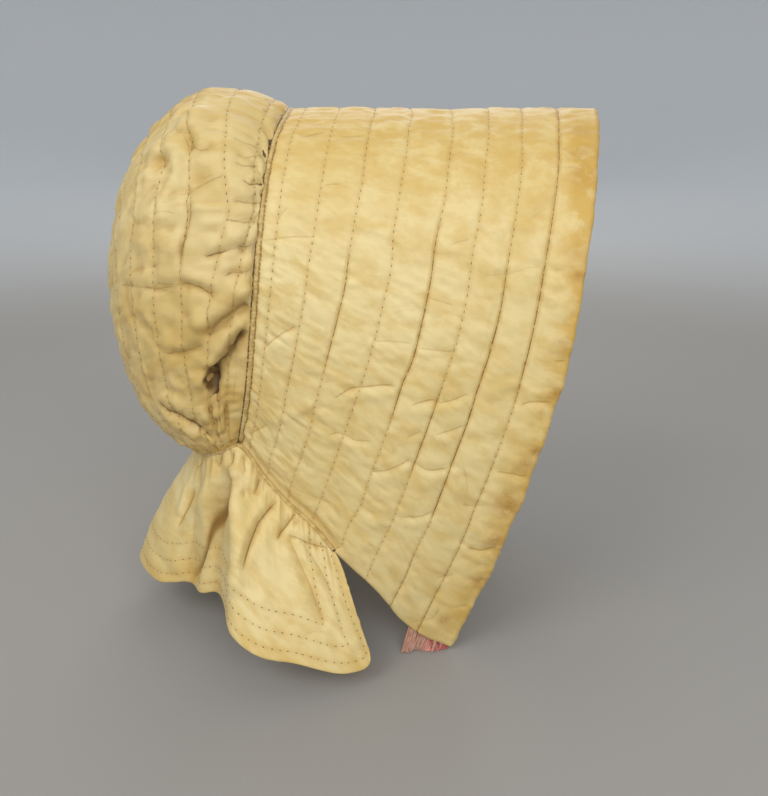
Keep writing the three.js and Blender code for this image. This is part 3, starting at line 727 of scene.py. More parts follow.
brim = {
    "wall": 6.0, "groove": 1.35, "hem": 0.03,
    "lines": [0, 0.04, 0.15, 0.265, 0.39, 0.52, 0.64, 0.755, 0.875, 1],
    "steps": [3, 8, 8, 9, 9, 8, 8, 8, 8],
    "crowd": 0.5,   # how closely the mesh gathers beside each line
    "along": 230,
    "spare": 1.03, "pressure": 0.3, "stiffness": 3.0, "frames": 20,
    "bend": 0.45, "foldDepth": 0.66, "fine": 0.36, "broad": 0.45, "pucker": 0.44,   # relief in mm
    "cloth": (175, 290),   # flat size that the weave follows, mm
    "stitch": {"pitch": 4.2, "length": 1.35, "radius": 0.26, "seed": 100},
    "folds": [  # path in thousandths of depth and arch, then width, lift and lean
        ([(524, -189), (549, -174), (574, -162), (609, -162), (649, -169)], 2.6, 0.9, 0.3),
        ([(529, -200), (576, -180), (644, -184)], 3.5, -0.7, 0),
        ([(772, -192), (820, -182), (867, -174), (905, -175), (967, -177)], 2.6, 0.9, 0.3),
        ([(779, -202), (842, -189), (907, -187), (975, -190)], 4, -0.8, 0),
        ([(789, -265), (812, -255), (837, -245), (862, -235), (890, -225)], 3, 0.9, 0.3),
        ([(805, -272), (850, -254), (900, -237)], 4, -0.7, 0),
        ([(649, -347), (709, -347), (744, -341), (782, -334), (810, -324), (837, -317), (880, -314),
          (925, -314), (1000, -312)], 2.4, 0.9, 0.3),
        ([(664, -354), (717, -354), (784, -341), (840, -326), (892, -321), (1000, -319)], 4, -0.8, 0),
        ([(579, -332), (607, -321), (647, -312)], 1.5, -0.7, 0),
        ([(509, -424), (564, -419), (624, -417)], 2.2, -0.7, 0),
        ([(762, -356), (797, -359), (835, -364)], 2.5, 0.7, 0.3),
        ([(885, -120), (927, -132), (977, -147), (997, -162)], 3.0, 0.9, 0.3),
        ([(870, -95), (920, -90), (977, -95)], 2.5, 0.8, 0.3),
        ([(837, -147), (885, -152), (942, -169), (992, -185)], 4, -0.9, 0),
        ([(63, -192), (103, -172), (148, -159)], 2, -0.8, 0),
        ([(58, -177), (95, -155), (150, -140)], 3.5, 0.8, 0),
        ([(178, -169), (226, -169), (271, -159)], 1.8, -0.7, 0),
        ([(283, -164), (321, -140), (358, -105)], 3, 0.8, 0.3),
        ([(409, -114), (459, -87), (511, -80)], 3, 0.8, 0.3),
        ([(165, -287), (226, -275)], 1.8, -0.7, 0),
        ([(0, -442), (55, -419), (108, -401), (173, -386)], 1.6, -0.8, 0),
        ([(3, -454), (73, -424), (150, -402)], 4, 0.6, 0),
        ([(278, -462), (321, -439), (366, -426)], 2.2, 0.7, 0.3),
        ([(73, -347), (48, -371), (35, -396)], 1.8, -0.6, 0),
        ([(20, -696), (48, -663), (70, -638), (98, -611), (123, -594), (140, -579)], 1.9, -1.2, 0),
        ([(33, -710), (63, -669), (95, -633), (138, -604)], 4, 1.2, 0),
        ([(125, -609), (163, -603), (193, -601), (248, -596)], 2.4, 0.8, 0.3),
        ([(378, -543), (444, -523), (514, -509)], 2.0, -0.7, 0),
        ([(516, -516), (574, -506), (634, -496), (649, -482)], 2.2, -0.7, 0),
        ([(283, -699), (313, -676), (341, -654), (396, -631), (439, -611), (466, -603),
          (491, -598)], 1.9, -1.3, 0),
        ([(301, -710), (346, -671), (404, -643), (454, -623), (491, -614)], 4, 1.0, 0),
        ([(536, -626), (566, -608), (607, -591), (637, -589), (679, -571), (704, -556),
          (729, -543)], 1.8, -1.3, 0),
        ([(544, -638), (579, -618), (642, -601), (697, -576), (737, -554)], 4, 1.0, 0),
        ([(85, -856), (48, -907), (18, -950)], 1.8, -1.1, 0),
        ([(80, -846), (135, -810), (178, -771), (211, -743), (236, -716)], 3.2, 1.2, 0.4),
        ([(286, -781), (331, -756), (363, -751), (396, -748), (469, -718)], 2.4, -0.9, 0),
        ([(298, -795), (351, -768), (411, -760), (474, -731)], 4, 0.8, 0),
        ([(456, -795), (489, -776), (514, -765), (549, -743), (574, -725), (596, -711)], 1.9, -1.2, 0),
        ([(471, -806), (521, -780), (566, -750), (609, -723)], 4, 0.9, 0),
        ([(599, -715), (624, -718), (652, -715), (674, -708), (714, -691), (737, -676)], 1.8, -1.2, 0),
        ([(619, -733), (667, -728), (719, -706), (754, -683)], 4, 0.8, 0),
        ([(551, -684), (576, -668), (607, -653)], 1.8, -0.9, 0),
        ([(639, -651), (694, -624), (722, -609), (749, -598)], 1.9, -1.0, 0),
        ([(644, -661), (699, -636), (754, -609)], 4, 0.7, 0),
        ([(614, -833), (652, -818), (687, -800), (727, -771)], 1.8, -1.1, 0),
        ([(624, -848), (689, -816), (739, -781)], 4, 0.8, 0),
        ([(805, -731), (845, -726), (895, -710)], 1.8, -1.0, 0),
        ([(877, -651), (915, -646), (942, -643), (975, -643), (1000, -639)], 1.8, -1.2, 0),
        ([(895, -663), (947, -658), (1000, -654)], 4.5, 1.0, 0),
        ([(910, -634), (950, -629), (997, -626)], 3.5, 1.0, 0),
        ([(955, -444), (980, -441), (1000, -436)], 2.2, -1.2, 0),
        ([(890, -533), (920, -519), (957, -514), (1000, -509)], 2.2, -1.3, 0),
        ([(905, -541), (945, -528), (1000, -523)], 4.5, 1.0, 0),
        ([(882, -803), (912, -800), (945, -795), (995, -778)], 2.2, -1.6, 0),
        ([(907, -816), (957, -810), (1000, -796)], 4.5, 1.2, 0),
        ([(895, -781), (937, -775), (980, -760)], 4, 1.0, 0),
        ([(817, -891), (857, -876), (882, -863)], 1.8, -1.0, 0),
        ([(734, -907), (754, -917), (777, -930)], 2.5, 0.8, 0),
        ([(932, -925), (962, -917), (1000, -912)], 2.0, -0.9, 0),
        ([(807, -995), (847, -975), (882, -962), (887, -933)], 1.8, -1.1, 0),
        ([(747, -676), (774, -698), (799, -725)], 2.4, 0.7, 0),
        ([(764, -661), (794, -683), (820, -711)], 2.4, -0.6, 0),
        ([(784, -546), (802, -531), (822, -516), (857, -503), (895, -489)], 3, 0.9, 0.3),
        ([(60, -983), (120, -970), (190, -958), (261, -948), (363, -928), (409, -912)], 3.5, -1.2, 0),
        ([(80, -937), (143, -928), (201, -920), (283, -913), (383, -891)], 7, 1.3, 0),
        ([(486, -898), (531, -886), (584, -863)], 4, 0.8, 0),
        ([(371, -833), (401, -796), (429, -768)], 4.5, 0.8, 0),
        ([(211, -836), (238, -868), (273, -891)], 4.5, -0.7, 0),
        ([(561, -491), (607, -462), (647, -446)], 4, 0.7, 0),
        ([(333, -299), (386, -285), (436, -284)], 4, 0.7, 0),
        ([(133, -497), (180, -474), (221, -467)], 4, 0.6, 0),
        ([(419, -482), (466, -457), (511, -451)], 4, -0.6, 0),
        ([(900, -362), (945, -364), (987, -357)], 4, 0.7, 0),
        ([(629, -274), (674, -260), (719, -260)], 4, 0.6, 0),
        ([(459, -1000), (501, -1000), (536, -978)], 3, 0.8, 0),
        ([(599, -935), (622, -905), (637, -880)], 3, 0.7, 0),
        ([(717, -975), (749, -945), (794, -932)], 3, 0.9, 0),
        ([(830, -760), (867, -768), (895, -781)], 3.5, 0.7, 0),
        ([(1000, -588), (982, -604), (960, -611)], 3, -0.8, 0),
    ],
    # painted shade: how dark each quilting line is painted; it also sets how deep the line is sewn
    "shade": {  # how dark each line is, from the top of the head (0) to the cheek (1)
        0: ([0, 0.2, 1], [0.6, 0.9, 0.9]),
        1: ([0, 0.5, 0.6, 0.75, 1], [0.1, 0.15, 0.3, 0.2, 0.15]),
        2: ([0, 0.35, 0.45, 0.6, 0.7, 0.85, 1], [0.1, 0.12, 0.3, 0.4, 0.5, 0.2, 0.2]),
        3: ([0, 0.1, 0.25, 0.3, 0.38, 0.42, 0.62, 0.68, 1],
            [0.3, 0.45, 0.4, 0.15, 0.15, 0.8, 0.75, 0.25, 0.2]),
        4: ([0, 0.1, 0.25, 0.4, 0.6, 0.8, 1], [0.35, 0.45, 0.35, 0.2, 0.25, 0.2, 0.15]),
        5: ([0, 0.1, 0.28, 0.34, 0.4, 0.64, 0.7, 1], [0.3, 0.4, 0.35, 0.8, 0.9, 0.85, 0.3, 0.25]),
        6: ([0, 0.1, 0.3, 0.42, 0.55, 0.6, 0.72, 0.76, 1],
            [0.5, 0.4, 0.15, 0.2, 0.4, 0.85, 0.85, 0.3, 0.3]),
        7: ([0, 0.1, 0.3, 0.4, 0.77, 0.8, 0.86, 0.9, 1],
            [0.3, 0.4, 0.4, 0.95, 0.95, 0.35, 0.3, 0.7, 0.7]),
        8: ([0, 0.1, 0.25, 0.4, 0.5, 0.54, 0.6, 0.66, 0.9, 1],
            [0.7, 0.8, 0.7, 0.95, 0.9, 0.4, 0.3, 0.6, 0.6, 0.8]),
    },
    "spots": [  # depth, arch, radius and strength of each stain
        (0.99, -0.322, 3, 0.8), (0.995, -0.496, 3.5, 0.9), (0.99, -0.596, 3, 0.9),
        (0.96, -0.16, 6, 0.5), (0.97, -0.62, 5, 0.6), (0.97, -0.7, 7, 0.8), (0.95, -0.685, 5, 0.6),
        (0.975, -0.77, 7, 0.7), (0.98, -0.86, 5, 0.8), (0.95, -0.12, 8, 0.35), (0.97, -0.2, 9, 0.4),
        (0.98, -0.3, 6, 0.3), (0.98, -0.42, 5, 0.5), (0.92, -0.955, 4, 0.6), (0.36, -0.7, 1.6, 0.6),
        (0.97, 0.3, 8, 0.5), (0.97, 0.62, 7, 0.6), (0.96, 0.8, 6, 0.6),
    ],
    "worn": [(0.985, -0.985, 9, 1.0), (0.985, 0.985, 9, 1.0)],
}
cords = {"crownRadius": 1.3, "neckRadius": 1.2, "sunk": 1.1, "cover": 0.05}


def cordLines():
    # the middle lines of the two covered cords
    reach = np.linspace(-0.996, 0.996, 500)
    side = np.where(reach < 0, -1.0, 1.0)
    seam = pointOf(crownSeam, np.abs(reach), side) - normalOf(brimFace, 0 * reach, reach) * cords["sunk"]
    reach = np.linspace(-0.99, 0.99, 500)
    zero = 0 * reach
    inward = normalOf(curtainFace, reach, zero + 0.02)
    flip = np.where((inward * np.stack([zero, side, zero], -1)).sum(-1) < 0, -1.0, 1.0)[:, None]
    return seam, curtainAt(reach, zero - 0.3) - inward * flip * 0.4


def snugTo(edge, line, radius):
    # how far each edge point has to move to touch a cord
    shape = edge.shape
    edge = edge.reshape(-1, 3)
    nearest = line[((edge[:, None] - line[None]) ** 2).sum(-1).argmin(1)]
    gap = nearest - edge
    length = np.linalg.norm(gap, axis=-1, keepdims=True)
    move = np.clip(length - radius, -0.5, 14) / np.maximum(length, 0.01)
    return (gap * move).reshape(shape)


def toNeckCord(outer, arch):
    # how far each row has to move for its two ends to meet the neck cord
    radius = cords["neckRadius"]
    return np.where((arch < 0)[..., None], snugTo(outer[:, :1], neckCord, radius),
                    snugTo(outer[:, -1:], neckCord, radius))


crownCord, neckCord = cordLines()


def lineShare(lines, t):
    lines = np.asarray(lines, float)
    i = np.clip(np.searchsorted(lines, t, side="right") - 1, 0, len(lines) - 2)
    return (t - lines[i]) / (lines[i + 1] - lines[i])


def fullness(lines, t):
    return np.maximum(0, np.sin(np.pi * np.clip(lineShare(lines, t), 0, 1))) ** 0.6


def lineStrength(lines, shadeOf, t, side):
    # how deep the grooves on either side of each point are
    depths = []
    for number in range(len(lines)):
        at, dark = shadeOf.get(number, ([0, 1], [0.0, 0.0]))
        depths.append((0.12 + 0.88 * np.interp(np.abs(side), at, dark)) * (number > 0))
    depths = np.stack(depths, -1)
    place = np.clip(np.interp(t, lines, np.arange(len(lines))), 0, len(lines) - 1.001)
    low = np.floor(place).astype(int)[..., None]
    share = place - low[..., 0]
    first = np.take_along_axis(depths, low, -1)[..., 0]
    second = np.take_along_axis(depths, low + 1, -1)[..., 0]
    return first + (second - first) * share


def brimStart(depth, arch, sunk):
    d = depth + read(lineDrift, np.abs(arch), "drift") * np.sin(np.pi * depth)
    d = d + 0.0065 * roughness(depth * 8, arch * 15 + 40, 21) * np.sin(np.pi * depth)
    return brimFace(d, arch) - normalOf(brimFace, d, arch) * sunk[..., None]


def crownStart(station, arch, sunk):
    station = np.clip(station, 0, 1)
    wander = 0.006 * roughness(station * 8, arch * 12 + 40, 25) * np.sin(np.pi * station)
    turn, down = hoopAt(station + wander, arch)
    n = normalOf(crownFace, turn, np.clip(down, 0.004, 0.996), 0.4)
    return crownFace(turn, down) - n * sunk[..., None]


def crownPlace(station, arch):
    turn, down = hoopAt(station, arch)
    return crownFace(turn, down)


def lineValues(points, lineRows, shadeOf, side):
    # gap to the nearest quilting line, and how dark that line's painted shade is there
    across = distances(points, 0)
    gap = np.full(points.shape[:2], 99.0)
    shade = np.zeros(points.shape[:2])
    for number, row in enumerate(lineRows):
        distance = np.abs(across - across[row])
        # the edge beside the cord gets a wider line of painted shade
        if number == 0:
            distance = np.maximum(0, distance - 0.6)
        nearer = distance < gap
        gap = np.where(nearer, distance, gap)
        at, dark = shadeOf.get(number, ([0, 1], [0.0, 0.0]))
        shade = np.where(nearer, np.interp(np.abs(side), at, dark), shade)
    return gap, shade


stitchLift = 0.05


def stitchRow(points, normals, how, number, dark):
    # small capsules of thread along a line of points, with a gap between each
    run = np.concatenate([[0], np.cumsum(np.linalg.norm(np.diff(points, axis=0), axis=1))])
    pitch = how["pitch"]
    radius = how["radius"]
    random = np.random.default_rng(how["seed"] + number)
    starts = np.arange(pitch * 0.5, run[-1] - pitch, pitch)
    starts = starts + random.uniform(-0.12, 0.12, len(starts)) * pitch
    sizes = how["length"] * random.uniform(0.8, 1.2, len(starts))
    sides = 6
    profile = [(-0.5, 0.0), (-0.42, 0.7), (-0.15, 1.0), (0.15, 1.0), (0.42, 0.7), (0.5, 0.0)]
    allPoints = []
    faces = []
    tones = []
    for start, size in zip(starts, sizes):
        ends = [np.array([np.interp(s, run, points[:, k]) for k in range(3)]) for s in (start, start + size)]
        n = np.array([np.interp(start + size / 2, run, normals[:, k]) for k in range(3)])
        along = ends[1] - ends[0]
        t = along / max(np.linalg.norm(along), 1e-6)
        n = n - t * (n @ t)
        n = n / max(np.linalg.norm(n), 1e-6)
        s = np.cross(t, n)
        middle = (ends[0] + ends[1]) / 2 + n * stitchLift
        base = len(allPoints)
        tones += [np.interp(start, run, dark) + random.uniform(-0.15, 0.15)] * (4 * sides + 2)
        for offset, r in profile:
            dip = -0.5 * radius * (2 * offset) ** 2
            if r == 0:
                allPoints.append(middle + t * size * offset + n * dip)
                continue
            for k in range(sides):
                a = 2 * math.pi * k / sides
                ring = s * math.cos(a) + n * math.sin(a)
                allPoints.append(middle + t * size * offset + ring * radius * r + n * dip)
        tip = base + 1 + 4 * sides
        for k in range(sides):
            m = (k + 1) % sides
            faces.append((base, base + 1 + k, base + 1 + m))
            for ring in range(3):
                low = base + 1 + ring * sides
                faces.append((low + k, low + sides + k, low + sides + m, low + m))
            faces.append((base + 1 + 3 * sides + k, tip, base + 1 + 3 * sides + m))
    return allPoints, faces, tones


def stitchPiece(name, rows, material):
    points = []
    faces = []
    tones = []
    for rowPoints, rowFaces, rowTones in rows:
        base = len(points)
        points += rowPoints
        tones += rowTones
        faces += [tuple(base + i for i in face) for face in rowFaces]
    piece = linkMesh(name, points, faces, material)
    setPointValues(piece, "darkness", tones)
    return piece


def hollowness(points, normals):
    # how far each point lies below its surroundings, in millimetres, which the silk uses for painted shade
    # in hollows
    low = ((blurred(points, 6) - points) * normals).sum(-1)
    wide = ((blurred(points, 40) - points) * normals).sum(-1)
    return np.clip(low / 0.6, 0, 1) * 0.5 + np.clip(wide / 2.0, 0, 1) * 0.6


def gridOf(how):
    # places across and along a quilted piece, its padding and how deep its lines are sewn
    steps = stepsBetween(np.array(how["lines"], float), how["steps"], how["crowd"])
    across, along = np.meshgrid(steps, np.linspace(-1, 1, how["along"] + 1), indexing="ij")
    fill = fullness(how["lines"], across) * np.minimum(1, (1 - np.abs(along)) / how["hem"])
    strong = lineStrength(how["lines"], how["shade"], across, along)
    return across, along, fill, how["groove"] * (1 - fill) * strong


def puffed(name, how, start, rest, closedBack=False):
    # only the quilting lines and the two ends are held
    pins = np.zeros(start.shape[:2])
    pins[np.cumsum([0] + how["steps"])] = 1
    pins[:, [0, -1]] = 1
    settled = puffCloth(name + "Cloth", start, rest, pins, how, closedBack)
    print(name, "puffed by at most", round(float(np.abs(settled - start).max()), 2), "mm")
    return finer(settled)


def makeBrim():
    depth, arch, fill, sunk = gridOf(brim)
    start = brimStart(depth, arch, sunk)
    bend = brim["bend"] * crumple(depth * 8, arch * 42, 3) * np.minimum(1, fill + 0.25)
    start = start + gridNormals(start) * bend[..., None]
    outer = puffed("brim", brim, start, start * np.array([1, brim["spare"], brim["spare"]]))
    depth = finer(depth)
    arch = finer(arch)
    fill = np.clip(finer(fill), 0, 1)
    n = gridNormals(outer)
    folded, creaseShade, creaseSide = bothSides(outer, n, brim["folds"], brimFace)
    lineRows = 2 * np.cumsum([0] + brim["steps"])
    gap, shade = lineValues(outer, lineRows, brim["shade"], arch)
    fine = brim["fine"] * crumple(depth * 22, arch * 48, 8) + 0.05 * roughness(depth * 90, arch * 130, 9)
    fine = fine + brim["broad"] * crumple(depth * 6, arch * 32, 10) * smooth(0.5, 0.2, np.abs(arch))
    along = distances(outer, 1)
    across = distances(outer, 0)
    fromEdge = np.minimum(along, along[:, -1:] - along)
    pucker = np.exp(-(gap / 3.8) ** 2) * roughness(depth * 24, along / 2.9, 27)
    relief = brim["foldDepth"] * folded + fine * (0.35 + 0.65 * fill) + brim["pucker"] * pucker
    sewn = (0.10 + 0.8 * shade ** 1.5) * np.exp(-(gap / 0.8) ** 2)
    relief = relief - sewn * smooth(0, 0.02, depth) * smooth(0, 0.02, 1 - depth)
    turnedIn = 0.9 * np.exp(-((fromEdge - 11) / 6) ** 2) - 1.3 * np.exp(-((fromEdge - 2.5) / 3.2) ** 2)
    relief = relief + turnedIn * smooth(0.62, 0.5, depth)
    outer = outer + n * relief[..., None]
    inner = brimStart(depth, arch, brim["wall"] - brim["groove"] * (1 - fill))
    # the back and lower edges meet the cords, and the worn front edge waves a little
    toCord = snugTo(outer[:1], crownCord, cords["crownRadius"]) * smooth(7, 0, across)[..., None]
    atNeck = smooth(7, 0, fromEdge) * smooth(0.62, 0.55, depth)
    toCord = toCord + toNeckCord(outer, arch) * atNeck[..., None]
    wave = 0.9 * roughness(0 * arch + 3, arch * 19, 29) + 0.35 * roughness(0 * arch + 5, arch * 60, 30)
    waved = unit(outer[-1:] - outer[-4:-3]) * (wave * smooth(0.93, 1, depth))[..., None]
    outer = outer + toCord + waved
    inner = inner + toCord + waved
    piece, used = wallMesh("quiltedBrim", outer, inner, yellowSilk)
    n = gridNormals(outer)
    golden = smooth(0.5, 0.05, np.abs(arch)) * 0.9 + 0.9 * smooth(0.88, 1, depth)
    golden = golden + 0.2 * smooth(0.85, 1, np.abs(arch))
    golden = golden * (1 - spotField(outer, brim["worn"], brimFace))
    values = {"lineGap": gap, "lineShade": shade, "hollowShade": hollowness(outer, n), "golden": golden,
              "creaseShade": creaseShade, "creaseSide": creaseSide, "stainAndShade": spotField(outer, brim["spots"], brimFace)}
    dressSilk(piece, used, values, depth * brim["cloth"][0], arch * brim["cloth"][1])
    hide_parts("brim")
    # each row's thread is painted darker where its line lies in shade
    rows = [stitchRow(outer[row], n[row], brim["stitch"], number, 1.15 * shade[row] - 0.05)
            for number, row in enumerate(lineRows[1:-1])]
    stitchPiece("brimStitches", rows, brownThread)


crown = {
    "wall": 5.0, "groove": 1.2, "hem": 0.04,
    "lines": [0, 0.067, 0.138, 0.228, 0.345, 0.475, 0.62, 0.79, 1],
    "steps": [6, 6, 7, 8, 8, 8, 8, 9],
    "crowd": 0.4,
    "along": 170,
    "spare": 1.05, "pressure": 0.4, "stiffness": 2.5, "frames": 20,
    "bend": 1.15, "gathers": 1.1, "napeGathers": 1.6, "fine": 0.55, "pucker": 0.45,   # relief in mm
    "bumpHeight": 1.4, "caveDepth": 2.2,
    "cloth": (110, 190),
    "stitch": {"pitch": 4.4, "length": 1.3, "radius": 0.27, "seed": 200},
    "folds": [  # path in thousandths of station and arch, then width, lift and lean
        ([(248, -275), (206, -271), (170, -299)], 8.5, 2.6, 0),
        ([(258, -304), (233, -347), (198, -372), (173, -368), (158, -347)], 3.2, -2.2, 0),
        ([(338, -340), (293, -334), (246, -366)], 7, 2.0, 0),
        ([(363, -344), (331, -385), (273, -417)], 3.2, -1.8, 0),
        ([(133, -430), (153, -439), (188, -450), (218, -460), (256, -465)], 3.0, -2.4, 0),
        ([(135, -445), (165, -456), (198, -467), (243, -480)], 5, 1.5, 0),
        ([(223, -435), (185, -435), (150, -432)], 5, -1.0, 0),
        ([(358, -490), (293, -490), (248, -499)], 1.8, -1.3, 0),
        ([(358, -497), (293, -499), (248, -506)], 3, 0.8, 0),
        ([(599, -596), (439, -615), (328, -628), (236, -637)], 2.0, -1.6, 0),
        ([(564, -592), (436, -607), (328, -619)], 3.5, 1.1, 0),
        ([(348, -613), (266, -624), (198, -619), (158, -626), (110, -645)], 2.6, -1.9, 0),
        ([(338, -604), (258, -613), (198, -609), (155, -611), (105, -628)], 4.5, 1.6, 0),
        ([(10, -404), (83, -447), (103, -437)], 1.7, -1.8, 0),
        ([(10, -428), (83, -460), (108, -452)], 3, 1.1, 0),
        ([(5, -529), (105, -514), (143, -510)], 1.8, -1.5, 0),
        ([(0, -536), (98, -523), (140, -519)], 3, 1.0, 0),
        ([(0, -551), (93, -551), (133, -564), (178, -576)], 2.0, -2.2, 0),
        ([(5, -544), (98, -540), (135, -551), (175, -564)], 4, 1.5, 0),
        ([(13, -576), (43, -587), (90, -594), (115, -602)], 1.8, -1.7, 0),
        ([(25, -566), (60, -576), (98, -585)], 3, 1.0, 0),
        ([(3, -602), (40, -619), (75, -645), (113, -669), (155, -688), (195, -695)], 5.5, 4.2, -0.45),
        ([(5, -632), (50, -650), (85, -671), (120, -690), (145, -714)], 4, -3.4, 0),
        ([(13, -662), (48, -688), (78, -718), (105, -748), (135, -774), (153, -800),
          (145, -828)], 3.6, 3.4, -0.4),
        ([(3, -677), (33, -703), (58, -731), (88, -759), (115, -787), (128, -809),
          (118, -837)], 3.4, -5.0, 0),
        ([(108, -774), (118, -796), (123, -821)], 4, -3.5, 0),
        ([(440, -815), (409, -852), (348, -871), (281, -890), (231, -916),
          (170, -965)], 2.2, -4.2, 0.3),
        ([(386, -811), (341, -834), (271, -852), (206, -877)], 5, 1.8, 0),
        ([(444, -850), (396, -882), (313, -910), (248, -938)], 4, 2.2, 0),
        ([(346, -736), (286, -740), (231, -738), (185, -731), (150, -720)], 2.2, -1.7, 0),
        ([(331, -723), (253, -725), (198, -716), (155, -705)], 4, 1.3, 0),
        ([(153, -856), (133, -892), (120, -936)], 2.0, -1.8, 0),
        ([(125, -865), (105, -901), (100, -948)], 2.2, 1.6, 0),
        ([(190, -852), (163, -888), (148, -936)], 2.4, 1.5, 0),
        ([(68, -854), (70, -899), (85, -957)], 2.0, -1.2, 0),
        ([(125, -336), (98, -342), (40, -306)], 2.2, -1.0, 0),
        ([(118, -383), (83, -375), (28, -312)], 2.2, -1.0, 0),
        ([(88, -76), (70, -71), (50, -46)], 2.0, -1.3, 0),
        ([(148, -183), (123, -155), (95, -149)], 4.0, 1.4, 0),
        ([(311, -654), (286, -667), (271, -688)], 4.5, 1.4, 0),
        ([(211, -652), (178, -665), (153, -654)], 4.5, 1.2, 0),
        ([(426, -673), (373, -695), (373, -723)], 3.5, -1.0, 0),
        ([(496, -529), (416, -549), (358, -544)], 4, 1.1, 0),
        ([(206, -497), (180, -518), (153, -542)], 5, 1.2, 0),
        ([(281, -529), (258, -559), (263, -587)], 5, 1.0, 0),
        ([(226, -450), (218, -478), (223, -505), (226, -533), (233, -562), (233, -596)], 1.5, -1.5, 0),
        ([(120, -400), (93, -405), (40, -366)], 2.0, -1.2, 0),
        ([(130, -480), (98, -484), (10, -488)], 2.2, -1.1, 0),
        ([(203, -209), (170, -166), (140, -93)], 4, -1.0, 0),
        ([(323, -232), (281, -190), (226, -181)], 4, 1.1, 0),
        ([(43, -727), (40, -794), (43, -878)], 7, -1.2, 0),
        # the pleat that lies over beside the seam
        ([(118, -763), (128, -781), (135, -806), (128, -826), (110, -845)], 3.4, -5.0, 0.2),
        ([(143, -774), (155, -796), (153, -821), (135, -841)], 2.0, 1.5, 0),
        ([(105, -847), (100, -878), (103, -914), (103, -963)], 1.1, -1.6, 0),
        ([(128, -892), (128, -929), (148, -966)], 1.0, -1.3, 0),
        ([(13, -680), (33, -699), (48, -718), (65, -742)], 2.0, -2.6, -0.3),
    ],
    "bumps": [  # station, arch, radius and height
        (0.226, -0.28, 8.5, 1.7), (0.343, -0.321, 7.5, 1.5), (0.225, -0.345, 4.5, -0.8),
        (0.355, -0.372, 4.5, -0.8), (0.203, -0.433, 6, -1.0),
    ],
    # painted shade of each hoop line, and how deep it is sewn
    "shade": {
        0: ([0, 1], [0.95, 0.95]),
        1: ([0, 1], [0.25, 0.35]),
        2: ([0, 1], [0.3, 0.4]),
        3: ([0, 0.4, 0.6, 1], [0.3, 0.6, 0.4, 0.4]),
        4: ([0, 1], [0.3, 0.3]),
        5: ([0, 1], [0.25, 0.25]),
        6: ([0, 1], [0.25, 0.25]),
        7: ([0, 1], [0.25, 0.25]),
        8: ([0, 1], [0.1, 0.1]),
    },
    # painted shade: brown shadow beside the pleat that lies over, drawn in the stain colour
    "spots": [(0.12, -0.85, 6, 0.5), (0.05, -0.72, 5, 0.5), (0.08, -0.75, 4, 0.6)],
    # sunk into the padding, and painted dark as shade
    "cave": [  # the dark opening under the pleat
        (0.116, -0.77, 2.2, 1.2), (0.13, -0.783, 2.8, 1.8), (0.137, -0.8, 3.1, 1.8),
        (0.132, -0.82, 2.9, 1.8), (0.12, -0.838, 2.3, 1.6), (0.111, -0.85, 1.6, 1.3),
    ],
    # painted shade: ochre crescents in the hollows under the padding's bumps
    "shadeUnderBumps": [
        (0.226, -0.345, 5.5, 0.9), (0.36, -0.372, 5.0, 0.9), (0.2, -0.437, 5.5, 0.9),
        (0.17, -0.426, 4, 0.7),
    ],
}


def sewMiddle(grid):
    # the last hoop is folded flat, so that its two halves meet
    grid[-1] = (grid[-1] + grid[-1, ::-1]) / 2


